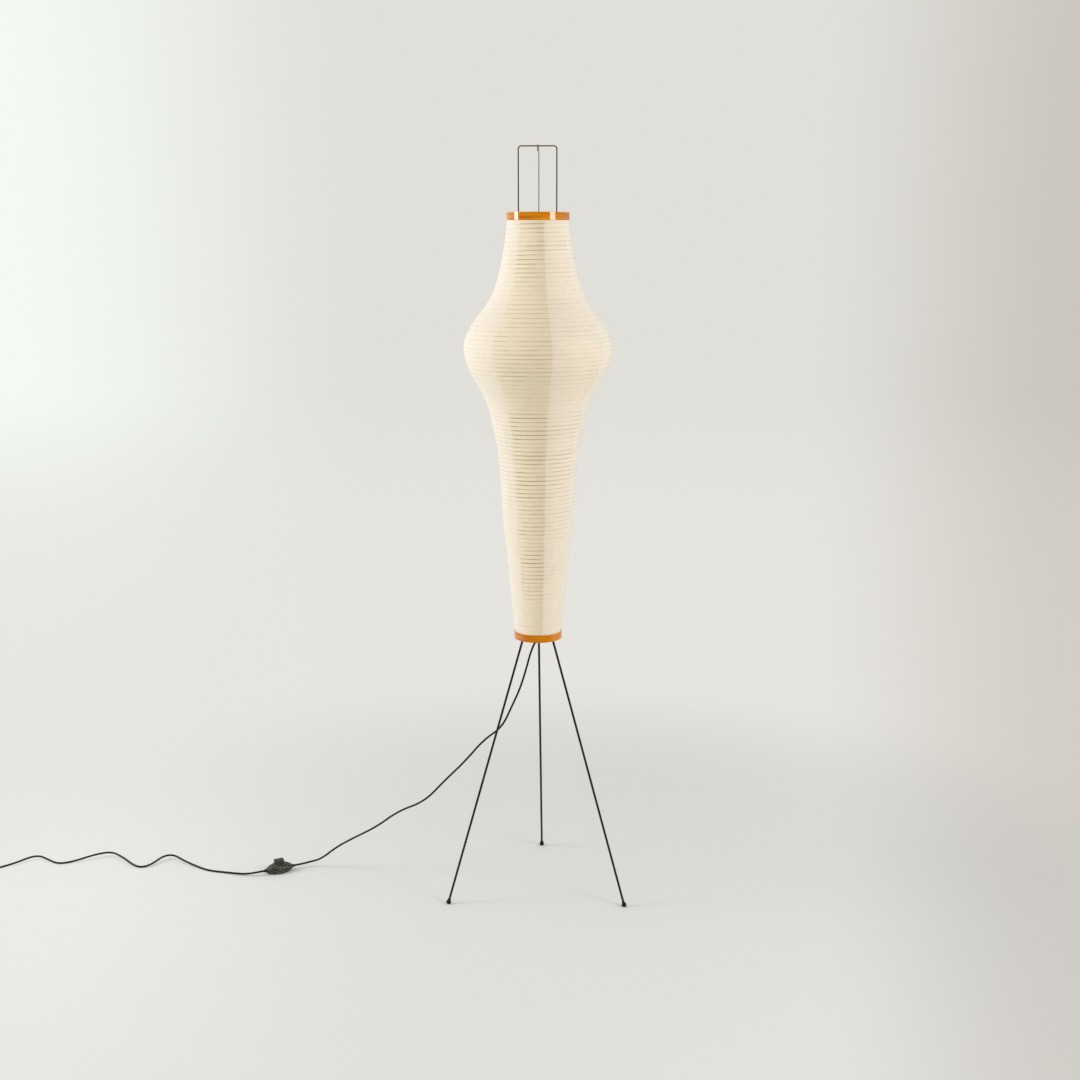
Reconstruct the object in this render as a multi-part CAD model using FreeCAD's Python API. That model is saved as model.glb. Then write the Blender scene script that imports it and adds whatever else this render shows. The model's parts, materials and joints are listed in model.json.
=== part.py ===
import FreeCAD, Part
import math
import os

# Paper lantern floor lamp. Millimetres, +Z up. The origin is on the floor, on the axis of the shade.
# The lamp faces -Y: two legs stand in front at 210 and 330 degrees and one behind at 90 degrees.

Vector = FreeCAD.Vector
UP = Vector(0, 0, 1)
CENTRE = Vector(0, 0, 0)

# ---------------------------------------------------------------- driving sizes: the whole lamp
total_height = 1850.0
foot_circle_radius = 255.0
azimuths = {"front_left": 210.0, "front_right": 330.0, "rear": 90.0}

# ---------------------------------------------------------------- driving sizes: legs and hub
leg_diameter = 5.5
foot_ball_diameter = 12.0
foot_ball_height = 5.0
foot_sleeve_wall = 1.7
foot_sleeve_length = 15.0
hub_height = 668.0
hub_thickness = 4.0
hub_disc_radius = 24.0
hub_arm_width = 14.0
leg_circle_at_hub = 39.6
socket_wall = 2.0
socket_length = 34.0
socket_end_wall = 3.0
screw_diameter = 3.0
screw_head_diameter = 7.0
screw_head_height = 5.0
screw_stand_off = 0.6
slip = 0.05
running_gap = 0.3

# ---------------------------------------------------------------- driving sizes: wire frame
wire_circle_radius = 52.0
front_wire_diameter = 3.0
rear_wire_diameter = 2.0
wire_corner_radius = 7.0
wire_hook_drop = 12.0
spoke_diameter = 2.5

# ---------------------------------------------------------------- driving sizes: hoops
hoop_height = 18.6
hoop_strip = 1.6
bottom_lining_strip = 1.4
hub_to_lining = 0.4
inner_strip_set_in = 2.0
top_hoop_top = 1696.0
bottom_hoop_bottom = 659.4

# ---------------------------------------------------------------- driving sizes: paper shade
paper_thickness = 0.5
paper_top_radius = 73.45
paper_bottom_radius = 57.3
paper_split_height = 1130.0
hem_top = 700.0
gore_count = 8
first_seam_azimuth = -79.5
rib_width = 1.6
rib_depth = 1.2
rib_gap = 0.2
rib_pitch = 10.2
turns_per_ring = 2
rib_inset_from_end = 8.0
# radius and height of the paper's outside, from the top hoop down
upper_outline = [(78.5, 1632.0), (88.5, 1576.0), (103.5, 1520.0), (131.0, 1471.0), (162.0, 1429.0),
                 (179.0, 1380.0), (170.5, 1335.0), (147.0, 1290.0), (126.5, 1250.0), (112.5, 1200.0)]
radius_at_split = 98.5
lower_outline = [(91.3, 1040.0), (85.0, 950.0), (74.5, 853.0), (65.0, 749.0), (60.4, 698.0)]

# ---------------------------------------------------------------- driving sizes: lampholder and bulb
nipple_diameter = 10.0
nipple_bore = 7.0
nipple_end_below_hub = 8.0
nipple_end_above_hub = 14.0
nut_across_flats = 14.0
nut_height = 4.0
holder_diameter = 39.0
holder_wall = 2.2
holder_cap_end_wall = 3.3
holder_cap_height = 24.0
holder_body_height = 40.0
insert_thickness = 8.0
insert_gap = 0.2
shell_wall = 0.5
shell_length = 26.0
bulb_cap_diameter = 26.4
bulb_cap_length = 26.0
bulb_diameter = 60.0
bulb_neck_room = 2.3
bulb_length_above_cap = 80.0
bulb_wall = 1.0
bulb_shoulder_share = 0.55
contact_diameter = 8.0
contact_thickness = 2.0
terminal_spacing = 20.0
terminal_head_height = 4.0
lead_diameter = 1.5
lead_spacing = 2.4

# ---------------------------------------------------------------- driving sizes: cord set
cord_diameter = 5.0
grip_collar_diameter = 16.0
grip_collar_height = 8.0
grip_sleeve_top_diameter = 9.0
grip_sleeve_end_diameter = 6.4
switch_centre = Vector(-684.0, 48.0, 0)
switch_yaw = 29.0
switch_half_length = 36.0
switch_middle_radius = 17.5
switch_tip_radius = 4.5
switch_axis_height = 10.5
switch_wall = 2.0
gland_length = 6.0
gland_end_radius = 3.1
button_length = 24.4
button_width = 13.4
button_top = 36.0
button_flange = 1.2
button_flange_height = 2.0
button_crown_chamfer = 1.2
bridge_thickness = 0.8
spring_radius = 4.0
spring_wire = 0.6
spring_turns = 12
contact_blade = Vector(12.0, 0.8, 13.0)
contact_blade_start = 15.0
boss_radius = 2.6
boss_offset = 29.0
switch_screw_radius = 1.25
switch_screw_length = 12.0
coil_middle_diameter = 55.0
coil_turns_across = 2
coil_turns_high = 2
coil_play = 0.2
coil_centre = Vector(-1496.0, 40.0, 0)
tie_thickness = 0.8
tie_width = 8.0
tie_azimuth = 270.0
plug_start = Vector(-1512.0, 8.6, 7.0)
plug_relief_length = 25.0
plug_relief_end_radius = 4.6
plug_length = 36.0
plug_width = 26.0
plug_height = 14.0
plug_chamfer = 3.0
pin_diameter = 4.0
pin_length = 19.0
pin_spacing = 18.6

# Where the mains cord leaves its grip under the hub, and the way it runs: down between the left and
# the rear leg to the foot switch, then along the floor in three slack waves to the coil.
cord_exit = Vector(-8.5, 1.0, 643.0)
route_to_switch = [(-8.5, 1, 643), (-17, 2, 626), (-30, 4, 575), (-46, 6, 522), (-66, 8, 477),
                   (-92, 11, 418), (-140, 17, 382), (-190, 23, 320), (-242, 29, 267), (-296, 36, 206),
                   (-366, 44, 176), (-424, 51, 129), (-486, 60, 94), (-534, 68, 64), (-578, 79, 25),
                   (-609, 87, 13), (-629.8, 78.1, 10.5)]
route_to_coil = [(-738.2, 18, 10.5), (-769, 20, 4.5), (-822, 34, 2.5), (-872, 44, 2.5), (-912, 71, 3),
                 (-952, 95, 8), (-984, 121, 12), (-1010, 116, 11), (-1027, 80, 6), (-1042, 62, 3.5),
                 (-1062, 58, 3), (-1086, 75, 4.5), (-1118, 106, 9), (-1158, 136, 12), (-1200, 115, 11),
                 (-1242, 88, 4), (-1282, 70, 2.5), (-1318, 91, 7), (-1344, 107, 9), (-1367, 100, 8.5),
                 (-1393, 71, 5), (-1426, 43, 2.8), (-1452, 22, 3), (-1474, 12.5, 3.5)]

# ---------------------------------------------------------------- how finely the shapes are worked out
arc_share_of_run = 0.45
bisection_steps = 60
closed_bend_play = 0.001
along_axis = 0.9

# ---------------------------------------------------------------- sizes worked out from those above
leg_radius = leg_diameter / 2
foot_ball_radius = foot_ball_diameter / 2
hub_top = hub_height + hub_thickness
top_hoop_bottom = top_hoop_top - hoop_height
bottom_hoop_top = bottom_hoop_bottom + hoop_height
front_wire_radius = front_wire_diameter / 2
rear_wire_radius = rear_wire_diameter / 2
rear_wire_top = total_height - rear_wire_radius
front_bar_height = rear_wire_top - rear_wire_radius - front_wire_radius
top_hoop_inside = paper_top_radius + slip
bottom_hoop_inside = paper_bottom_radius + running_gap
bottom_strip_outside = paper_bottom_radius - paper_thickness - running_gap
bottom_strip_inside = bottom_strip_outside - bottom_lining_strip
hub_reach = bottom_strip_inside - hub_to_lining
holder_radius = holder_diameter / 2
nipple_radius = nipple_diameter / 2
cap_floor = hub_top + nut_height
insert_bottom = cap_floor + holder_cap_height
insert_top = insert_bottom + insert_thickness
bulb_cap_radius = bulb_cap_diameter / 2
bulb_neck_radius = holder_radius - holder_wall - bulb_neck_room
bulb_cap_bottom = insert_top + contact_thickness
bulb_glass_bottom = bulb_cap_bottom + bulb_cap_length
shell_inside = bulb_cap_radius + running_gap
flange_half_length = button_length / 2 + button_flange
flange_half_width = button_width / 2 + button_flange
switch_hollow_half_length = switch_half_length - switch_wall
switch_hollow_radius = switch_middle_radius - switch_wall
switch_hollow_tip_radius = switch_tip_radius - switch_wall / 2
cord_radius = cord_diameter / 2
coil_half_width = (coil_turns_across * cord_diameter + coil_play) / 2
coil_height = coil_turns_high * cord_diameter + coil_play
saved = {}


def polar(radius, azimuth, height):
    """A point at a radius and azimuth round the lamp's axis."""
    angle = math.radians(azimuth)
    return Vector(radius * math.cos(angle), radius * math.sin(angle), height)


def rod(start, end, radius):
    """A round bar between two points."""
    return Part.makeCylinder(radius, (end - start).Length, start, end - start)


def ring(inner, outer, bottom, top):
    """A round band about the lamp's axis."""
    body = Part.makeCylinder(outer, top - bottom, Vector(0, 0, bottom))
    return body.cut(Part.makeCylinder(inner, top - bottom, Vector(0, 0, bottom)))


def block(low, high):
    """A box between two corners."""
    size = high - low
    return Part.makeBox(size.x, size.y, size.z, low)


def turned(shape, azimuth):
    """A copy of a shape turned about the lamp's axis."""
    copy = shape.copy()
    copy.rotate(CENTRE, UP, azimuth)
    return copy


def placed(shape, centre, yaw):
    """A copy of a shape turned by yaw and moved to a centre on the floor."""
    copy = turned(shape, yaw)
    copy.translate(centre)
    return copy


def group(shapes):
    """Several solids that share one node."""
    return Part.makeCompound(shapes)


def save(node, shape):
    """Write one node's STEP file."""
    shape.exportStep(os.path.join("parts", node + ".step"))
    saved[node] = shape


def tube(points, radius, corner_radius=None, label=None):
    """A round tube along straight runs that tangent arcs join.

    Without a fixed corner radius each arc is as large as its two runs allow.
    """
    edges = []
    radii = []
    start = points[0]
    for before, point, after in zip(points, points[1:], points[2:]):
        back = before - point
        ahead = after - point
        half_turn = (math.pi - back.getAngle(ahead)) / 2
        shorter = min(back.Length, ahead.Length)
        bend = corner_radius or arc_share_of_run * shorter / math.tan(half_turn)
        back.normalize()
        ahead.normalize()
        reach = bend * math.tan(half_turn)
        entry = point + back * reach
        leave = point + ahead * reach
        inward = back + ahead
        inward.normalize()
        middle = point + inward * (bend / math.cos(half_turn) - bend)
        edges.append(Part.LineSegment(start, entry).toShape())
        edges.append(Part.Arc(entry, middle, leave).toShape())
        radii.append(round(bend, 1))
        start = leave
    edges.append(Part.LineSegment(start, points[-1]).toShape())
    path = Part.Wire(edges)
    section = Part.Wire([Part.makeCircle(radius, points[0], points[1] - points[0])])
    if label:
        print(label, "length", round(path.Length, 1), "arc radii", radii)
    return path.makePipeShell([section], True, False)


# ---------------------------------------------------------------- legs, feet and hub
def leg_line(azimuth):
    """The floor end of a leg's axis and its upward direction."""
    floor_point = polar(foot_circle_radius, azimuth, 0)
    direction = polar(leg_circle_at_hub, azimuth, hub_height) - floor_point
    direction.normalize()
    return floor_point, direction


def leg_point(azimuth, height):
    """The point of a leg's axis at a height."""
    floor_point, direction = leg_line(azimuth)
    return floor_point + direction * (height / direction.z)


def socket_stop(azimuth):
    """The point where a leg's top meets the closed end of its socket."""
    direction = leg_line(azimuth)[1]
    return leg_point(azimuth, hub_height) + direction * (socket_length - socket_end_wall)


def make_legs():
    """Three rods and their rubber feet."""
    for name, azimuth in azimuths.items():
        direction = leg_line(azimuth)[1]
        ball_centre = leg_point(azimuth, foot_ball_height)
        save("leg_" + name, rod(ball_centre, socket_stop(azimuth), leg_radius))
        sleeve_radius = leg_radius + foot_sleeve_wall
        foot = Part.makeSphere(foot_ball_radius, ball_centre)
        foot = foot.fuse(rod(ball_centre, ball_centre + direction * foot_sleeve_length, sleeve_radius))
        bore_end = ball_centre + direction * (foot_sleeve_length + foot_ball_radius)
        foot = foot.cut(rod(ball_centre, bore_end, leg_radius + slip))
        under = block(Vector(-foot_ball_radius, -foot_ball_radius, -foot_ball_radius),
                      Vector(foot_ball_radius, foot_ball_radius, 0))
        under.translate(Vector(ball_centre.x, ball_centre.y, 0))
        save("foot_" + name, foot.cut(under))


def screw_axis(azimuth):
    """The point on a leg's axis that its screw aims at, and the way the screw stands out."""
    direction = leg_line(azimuth)[1]
    outward = polar(1, azimuth, 0)
    outward = outward - direction * outward.dot(direction)
    outward.normalize()
    return leg_point(azimuth, hub_top + socket_length / 2), outward


def make_hub():
    """The spider that holds the legs, the wires and the lampholder, and the legs' screws."""
    hub = Part.makeCylinder(hub_disc_radius, hub_thickness, Vector(0, 0, hub_height))
    round_end = hub_arm_width / 2
    screws = []
    bores = []
    for azimuth in azimuths.values():
        arm = block(Vector(0, -round_end, hub_height), Vector(hub_reach - round_end, round_end, hub_top))
        tip = Part.makeCylinder(round_end, hub_thickness, Vector(hub_reach - round_end, 0, hub_height))
        hub = hub.fuse([turned(arm, azimuth), turned(tip, azimuth)])
        direction = leg_line(azimuth)[1]
        below = leg_point(azimuth, hub_height) - direction * hub_thickness
        top = leg_point(azimuth, hub_height) + direction * socket_length
        hub = hub.fuse(rod(below, top, leg_radius + socket_wall))
        bores.append(rod(below - direction * hub_thickness, socket_stop(azimuth), leg_radius + slip))
        aim, outward = screw_axis(azimuth)
        head_start = leg_radius + socket_wall + screw_stand_off
        tip_point = aim + outward * leg_radius
        bores.append(rod(aim, aim + outward * (2 * socket_wall + leg_radius), screw_diameter / 2 + slip))
        shank = rod(tip_point, aim + outward * head_start, screw_diameter / 2)
        head = rod(aim + outward * head_start, aim + outward * (head_start + screw_head_height),
                   screw_head_diameter / 2)
        screws.append(shank.fuse(head))
    under = block(Vector(-2 * hub_reach, -2 * hub_reach, hub_height - socket_length),
                  Vector(2 * hub_reach, 2 * hub_reach, hub_height))
    bores.append(Part.makeCylinder(nipple_radius + slip, hub_thickness, Vector(0, 0, hub_height)))
    save("hub", hub.cut(under).cut(bores).removeSplitter())
    save("leg_screws", group(screws))


# ---------------------------------------------------------------- wire frame
def make_wire_frame():
    """The bent front wire, the rear wire that hooks over it, and the spokes under the top hoop."""
    left = polar(wire_circle_radius, azimuths["front_left"], hub_top)
    right = polar(wire_circle_radius, azimuths["front_right"], hub_top)
    rear = polar(wire_circle_radius, azimuths["rear"], hub_top)
    front_points = [left, Vector(left.x, left.y, front_bar_height),
                    Vector(right.x, right.y, front_bar_height), right]
    front_wire = tube(front_points, front_wire_radius, wire_corner_radius)
    wrap = front_wire_radius + rear_wire_radius
    hook_y = left.y - wrap
    rear_run = [rear, Vector(0, rear.y, rear_wire_top), Vector(0, left.y, rear_wire_top)]
    rear_wire = tube(rear_run, rear_wire_radius, wire_corner_radius)
    hook_run = [rear_run[-1], Vector(0, hook_y, rear_wire_top),
                Vector(0, hook_y, front_bar_height - wire_hook_drop)]
    hook = tube(hook_run, rear_wire_radius, wrap - closed_bend_play)
    save("front_wire", front_wire)
    save("rear_wire", rear_wire.fuse(hook).removeSplitter())
    spokes = []
    spoke_height = top_hoop_bottom + inner_strip_set_in + hoop_strip - spoke_diameter / 2
    for name, azimuth in azimuths.items():
        inner_end = polar(wire_circle_radius, azimuth, spoke_height)
        outer_end = polar(paper_top_radius - paper_thickness - running_gap, azimuth, spoke_height)
        wire_radius = rear_wire_radius if name == "rear" else front_wire_radius
        upright = rod(inner_end - UP * spoke_diameter, inner_end + UP * spoke_diameter, wire_radius)
        spokes.append(rod(inner_end, outer_end, spoke_diameter / 2).cut(upright))
    save("hoop_spokes", group(spokes))


# ---------------------------------------------------------------- hoops
def make_hoops():
    """Each hoop is an outer and an inner bent strip with the paper's end between them."""
    save("top_hoop", ring(top_hoop_inside, top_hoop_inside + hoop_strip, top_hoop_bottom, top_hoop_top))
    strip_outside = paper_top_radius - paper_thickness - slip
    strip_bottom = top_hoop_bottom + inner_strip_set_in + hoop_strip
    save("top_hoop_lining", ring(strip_outside - hoop_strip, strip_outside,
                                 strip_bottom, top_hoop_top - inner_strip_set_in))
    save("bottom_hoop", ring(bottom_hoop_inside, bottom_hoop_inside + hoop_strip,
                             bottom_hoop_bottom, bottom_hoop_top))
    save("bottom_hoop_lining", ring(bottom_strip_inside, bottom_strip_outside,
                                    bottom_hoop_bottom + inner_strip_set_in,
                                    bottom_hoop_top - inner_strip_set_in))


# ---------------------------------------------------------------- paper shade
def outline_curve(inset):
    """The paper's profile from hoop to hoop, moved towards the axis by inset."""
    ends_and_middle = [(paper_top_radius, top_hoop_bottom)] + upper_outline
    ends_and_middle += [(radius_at_split, paper_split_height)] + lower_outline
    ends_and_middle += [(paper_bottom_radius, bottom_hoop_top)]
    curve = Part.BSplineCurve()
    curve.interpolate([Vector(radius - inset, 0, height) for radius, height in ends_and_middle])
    return curve


def height_parameter(curve, height):
    """The curve's parameter at a height. The height falls all along the curve."""
    low, high = curve.FirstParameter, curve.LastParameter
    for _ in range(bisection_steps):
        middle = (low + high) / 2
        if curve.value(middle).z > height:
            low = middle
        else:
            high = middle
    return (low + high) / 2


def paper_section(top, bottom, top_end, bottom_end):
    """The flat section of one length of paper. Past top and bottom it is a straight collar for a hoop."""
    edges = []
    tips = []
    for inset in (0, paper_thickness):
        curve = outline_curve(inset)
        first = height_parameter(curve, top)
        last = height_parameter(curve, bottom)
        edges.append(curve.toShape(first, last))
        side = []
        for parameter, height, end in ((first, top, top_end), (last, bottom, bottom_end)):
            on_curve = curve.value(parameter)
            tip = on_curve
            if end != height:
                tip = Vector(on_curve.x, 0, end)
                edges.append(Part.LineSegment(on_curve, tip).toShape())
            side.append(tip)
        tips.append(side)
    for outer_tip, inner_tip in zip(*tips):
        edges.append(Part.LineSegment(outer_tip, inner_tip).toShape())
    return Part.Face(Part.Wire(Part.__sortEdges__(edges)))


def make_paper():
    """Gores glued edge to edge: an upper length, a lower length that folds up and the hem in the hoop."""
    gore_angle = 360.0 / gore_count
    collar_top = top_hoop_top - inner_strip_set_in
    collar_bottom = bottom_hoop_bottom + inner_strip_set_in
    hem_edge = hem_top - running_gap
    lengths = {"upper_paper": (top_hoop_bottom, paper_split_height, collar_top, paper_split_height),
               "lower_paper": (paper_split_height, hem_top, paper_split_height, hem_top),
               "hem_paper": (hem_edge, bottom_hoop_top, hem_edge, collar_bottom)}
    for node, heights in lengths.items():
        gore = paper_section(*heights).revolve(CENTRE, UP, gore_angle)
        save(node, group([turned(gore, first_seam_azimuth + k * gore_angle) for k in range(gore_count)]))


def make_ribs():
    """The rib is one long bamboo strip, wound in a spiral inside the paper. A ring stands for two turns."""
    inside = outline_curve(paper_thickness)
    rings = {"upper_ribs": [], "lower_ribs": [], "hem_rib": []}
    height = top_hoop_bottom - rib_inset_from_end
    while height > bottom_hoop_top + rib_inset_from_end:
        parameter = height_parameter(inside, height)
        along = inside.tangent(parameter)[0]
        inward = Vector(along.z, 0, -along.x)
        seat = inside.value(parameter) + inward * rib_gap
        edge = along * (rib_width / 2)
        depth = inward * rib_depth
        corners = [seat - edge, seat + edge, seat + edge + depth, seat - edge + depth, seat - edge]
        strip = Part.Face(Part.makePolygon(corners))
        node = "upper_ribs" if height > paper_split_height else "lower_ribs"
        if height < hem_top:
            node = "hem_rib"
        if min(abs(height - paper_split_height), abs(height - hem_top)) > rib_width:
            rings[node].append(strip.revolve(CENTRE, UP, 360))
        height -= rib_pitch * turns_per_ring
    for node, shapes in rings.items():
        save(node, group(shapes))


# ---------------------------------------------------------------- lampholder and bulb
def hex_nut(bottom):
    """A hexagon nut on the threaded nipple."""
    corner = nut_across_flats / math.sqrt(3)
    points = [polar(corner, 60 * k, bottom) for k in range(7)]
    prism = Part.Face(Part.makePolygon(points)).extrude(UP * nut_height)
    return prism.cut(Part.makeCylinder(nipple_radius + slip, nut_height, Vector(0, 0, bottom)))


def make_lampholder():
    """The threaded nipple, its nuts and the screw lampholder above the hub."""
    save("nipple", ring(nipple_bore / 2, nipple_radius, hub_height - nipple_end_below_hub,
                        hub_top + nipple_end_above_hub))
    save("nipple_nuts", group([hex_nut(hub_height - nut_height), hex_nut(hub_top)]))
    cap = Part.makeCylinder(holder_radius, holder_cap_height, Vector(0, 0, cap_floor))
    cap = cap.makeChamfer(holder_wall, [edge for edge in cap.Edges
                                        if abs(edge.CenterOfMass.z - cap_floor) < slip
                                        and len(edge.Vertexes) == 1])
    hollow = Part.makeCylinder(holder_radius - holder_wall, holder_cap_height,
                               Vector(0, 0, cap_floor + holder_cap_end_wall))
    hole = Part.makeCylinder(nipple_radius + slip, holder_cap_height, Vector(0, 0, cap_floor))
    save("holder_cap", cap.cut([hollow, hole]))
    save("holder_body", ring(holder_radius - holder_wall, holder_radius, insert_bottom,
                             insert_bottom + holder_body_height))
    insert_radius = holder_radius - holder_wall - insert_gap
    insert = Part.makeCylinder(insert_radius, insert_thickness, Vector(0, 0, insert_bottom))
    holes = []
    screws = []
    for side in (-1, 1):
        foot = Vector(side * terminal_spacing / 2, 0, insert_bottom)
        holes.append(Part.makeCylinder(screw_diameter / 2 + slip, insert_thickness, foot))
        shank = rod(foot - UP * slip, foot + UP * (insert_thickness - 2 * slip), screw_diameter / 2)
        head = rod(foot - UP * terminal_head_height, foot - UP * slip, screw_diameter)
        screws.append(head.fuse(shank))
    save("holder_insert", insert.cut(holes))
    save("terminal_screws", group(screws))
    save("screw_shell", ring(shell_inside, shell_inside + shell_wall, insert_top,
                             insert_top + shell_length))
    save("centre_contact", Part.makeCylinder(contact_diameter / 2, contact_thickness,
                                             Vector(0, 0, insert_top)))
    lead_top = insert_bottom - lead_diameter
    leads = []
    for side in (-1, 1):
        low = Vector(side * lead_spacing / 2, 0, hub_height - nipple_end_below_hub)
        bend = Vector(side * lead_spacing / 2, 0, lead_top - terminal_spacing / 2)
        high = Vector(side * (terminal_spacing / 2 - screw_diameter - lead_diameter), 0, lead_top)
        leads.append(tube([low, bend, high], lead_diameter / 2, 2 * lead_diameter))
    save("holder_leads", group(leads))


def bulb_shape(inset):
    """The bulb's ball and its conical neck, made smaller by inset all round."""
    ball_radius = bulb_diameter / 2
    ball_height = bulb_glass_bottom + bulb_length_above_cap - ball_radius
    shoulder_drop = bulb_shoulder_share * ball_radius
    shoulder_radius = math.sqrt(ball_radius ** 2 - shoulder_drop ** 2)
    neck_bottom = bulb_glass_bottom + inset
    neck = Part.makeCone(bulb_neck_radius - inset, shoulder_radius - inset,
                         ball_height - shoulder_drop - neck_bottom, Vector(0, 0, neck_bottom))
    return Part.makeSphere(ball_radius - inset, Vector(0, 0, ball_height)).fuse(neck)


def make_bulb():
    """The screw cap and the opal glass of the bulb."""
    cap = Part.makeCylinder(bulb_cap_radius, bulb_cap_length, Vector(0, 0, bulb_cap_bottom))
    save("bulb_cap", cap)
    outside = bulb_shape(0)
    inside = bulb_shape(bulb_wall)
    save("bulb_glass", outside.cut(inside).removeSplitter())


# ---------------------------------------------------------------- cord, foot switch, coil and plug
def make_cord_grip():
    """The grip on the nipple's lower end, with its tapered sleeve leaning the way the cord goes."""
    nipple_end = hub_height - nipple_end_below_hub
    collar_top = hub_height - nut_height
    collar = Part.makeCylinder(grip_collar_diameter / 2, grip_collar_height,
                               Vector(0, 0, collar_top - grip_collar_height))
    collar = collar.cut(Part.makeCylinder(nipple_radius + slip, collar_top - nipple_end,
                                          Vector(0, 0, nipple_end)))
    root = Vector(0, 0, nipple_end)
    lean = cord_exit - root
    sleeve = Part.makeCone(grip_sleeve_top_diameter / 2, grip_sleeve_end_diameter / 2, lean.Length,
                           root, lean)
    under = Part.makeCylinder(grip_collar_diameter, grip_collar_height, root)
    save("cord_grip", collar.fuse(sleeve.cut(under)).removeSplitter())


def spindle(half_length, middle_radius, tip_radius):
    """A body turned about the X axis from one arc, thickest in the middle."""
    tips = [Vector(side * half_length, 0, tip_radius) for side in (-1, 1)]
    arc = Part.Arc(tips[0], Vector(0, 0, middle_radius), tips[1]).toShape()
    feet = [Vector(tip.x, 0, 0) for tip in tips]
    outline = Part.Wire([arc, Part.LineSegment(tips[1], feet[1]).toShape(),
                         Part.LineSegment(feet[1], feet[0]).toShape(),
                         Part.LineSegment(feet[0], tips[0]).toShape()])
    return Part.Face(outline).revolve(CENTRE, Vector(1, 0, 0), 360)


def switch_part(shape):
    """A piece of the foot switch, moved from its own frame to where the switch lies."""
    return placed(shape, switch_centre, switch_yaw)


def make_switch_shells():
    """The base and the domed cover, each with two bosses for the screws."""
    reach = 2 * switch_half_length
    outer = spindle(switch_half_length, switch_middle_radius, switch_tip_radius)
    inner = spindle(switch_hollow_half_length, switch_hollow_radius, switch_hollow_tip_radius)
    for body in (outer, inner):
        body.translate(UP * switch_axis_height)
    low_slab = block(Vector(-reach, -reach, 0), Vector(reach, reach, switch_axis_height))
    high_slab = block(Vector(-reach, -reach, switch_axis_height), Vector(reach, reach, reach))
    cavity = inner.cut(block(Vector(-reach, -reach, -reach), Vector(reach, reach, switch_wall)))
    base = outer.common(low_slab).cut(cavity)
    cover = outer.common(high_slab).cut(cavity)
    holes = []
    screws = []
    for side in (-1, 1):
        foot = Vector(side * boss_offset, 0, 0)
        boss = Part.makeCylinder(boss_radius, 2 * switch_axis_height, foot).common(outer)
        base = base.fuse(boss.common(low_slab))
        cover = cover.fuse(boss.common(high_slab))
        start = foot + UP * (switch_wall / 2)
        screws.append(Part.makeCylinder(switch_screw_radius, switch_screw_length, start))
        holes.append(Part.makeCylinder(switch_screw_radius + slip, switch_screw_length + switch_wall / 2,
                                       foot))
    window = block(Vector(-button_length / 2 - running_gap, -button_width / 2 - running_gap,
                          switch_axis_height),
                   Vector(button_length / 2 + running_gap, button_width / 2 + running_gap, reach))
    save("switch_base", switch_part(base.cut(holes).removeSplitter()))
    save("switch_cover", switch_part(cover.cut(holes).cut(window).removeSplitter()))
    save("switch_screws", switch_part(group(screws)))


def button_stop():
    """The height at which the button's flange meets the cover from inside, less the running gap."""
    rise = switch_hollow_radius - switch_hollow_tip_radius
    arc_radius = (switch_hollow_half_length ** 2 + rise ** 2) / (2 * rise)
    drop = arc_radius - math.sqrt(arc_radius ** 2 - flange_half_length ** 2)
    room = math.sqrt((switch_hollow_radius - drop) ** 2 - flange_half_width ** 2)
    return switch_axis_height + room - running_gap


def make_switch_inside():
    """The button, the bridge under it, its spring, the contact blades and the cord glands."""
    flange_top = button_stop()
    button_flange_bottom = flange_top - button_flange_height
    plate = block(Vector(-flange_half_length, -flange_half_width, button_flange_bottom),
                  Vector(flange_half_length, flange_half_width, flange_top))
    key = block(Vector(-button_length / 2, -button_width / 2, button_flange_bottom),
                Vector(button_length / 2, button_width / 2, button_top))
    crown = [edge for edge in key.Edges if edge.BoundBox.ZMin > button_top - slip]
    key = key.makeChamfer(button_crown_chamfer, crown)
    save("foot_button", switch_part(key.fuse(plate).removeSplitter()))
    bridge_bottom = button_flange_bottom - bridge_thickness
    save("contact_bridge", switch_part(block(
        Vector(-button_length / 2, -spring_radius, bridge_bottom),
        Vector(button_length / 2, spring_radius, button_flange_bottom))))
    first = switch_wall + spring_wire / 2
    last = bridge_bottom - spring_wire / 2
    step = (last - first) / (spring_turns - 1)
    save("button_spring", switch_part(group(
        [Part.makeTorus(spring_radius - spring_wire / 2, spring_wire / 2, Vector(0, 0, first + k * step), UP)
         for k in range(spring_turns)])))
    blades = []
    glands = []
    for side in (-1, 1):
        start = side * contact_blade_start
        end = start + side * (contact_blade.x - (switch_wall - contact_blade.y))
        blades.append(block(Vector(min(start, end), -contact_blade.y / 2, switch_wall),
                            Vector(max(start, end), contact_blade.y / 2, switch_wall + contact_blade.z)))
        tip = Vector(side * switch_half_length, 0, switch_axis_height)
        glands.append(Part.makeCone(switch_tip_radius - slip, gland_end_radius, gland_length, tip,
                                    Vector(side, 0, 0)))
    save("contact_blades", switch_part(group(blades)))
    save("switch_glands", switch_part(group(glands)))


def switch_exit(side):
    """The point where a cord meets the switch's gland."""
    reach = side * (switch_half_length + gland_length)
    return polar(reach, switch_yaw, switch_axis_height) + switch_centre


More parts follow.
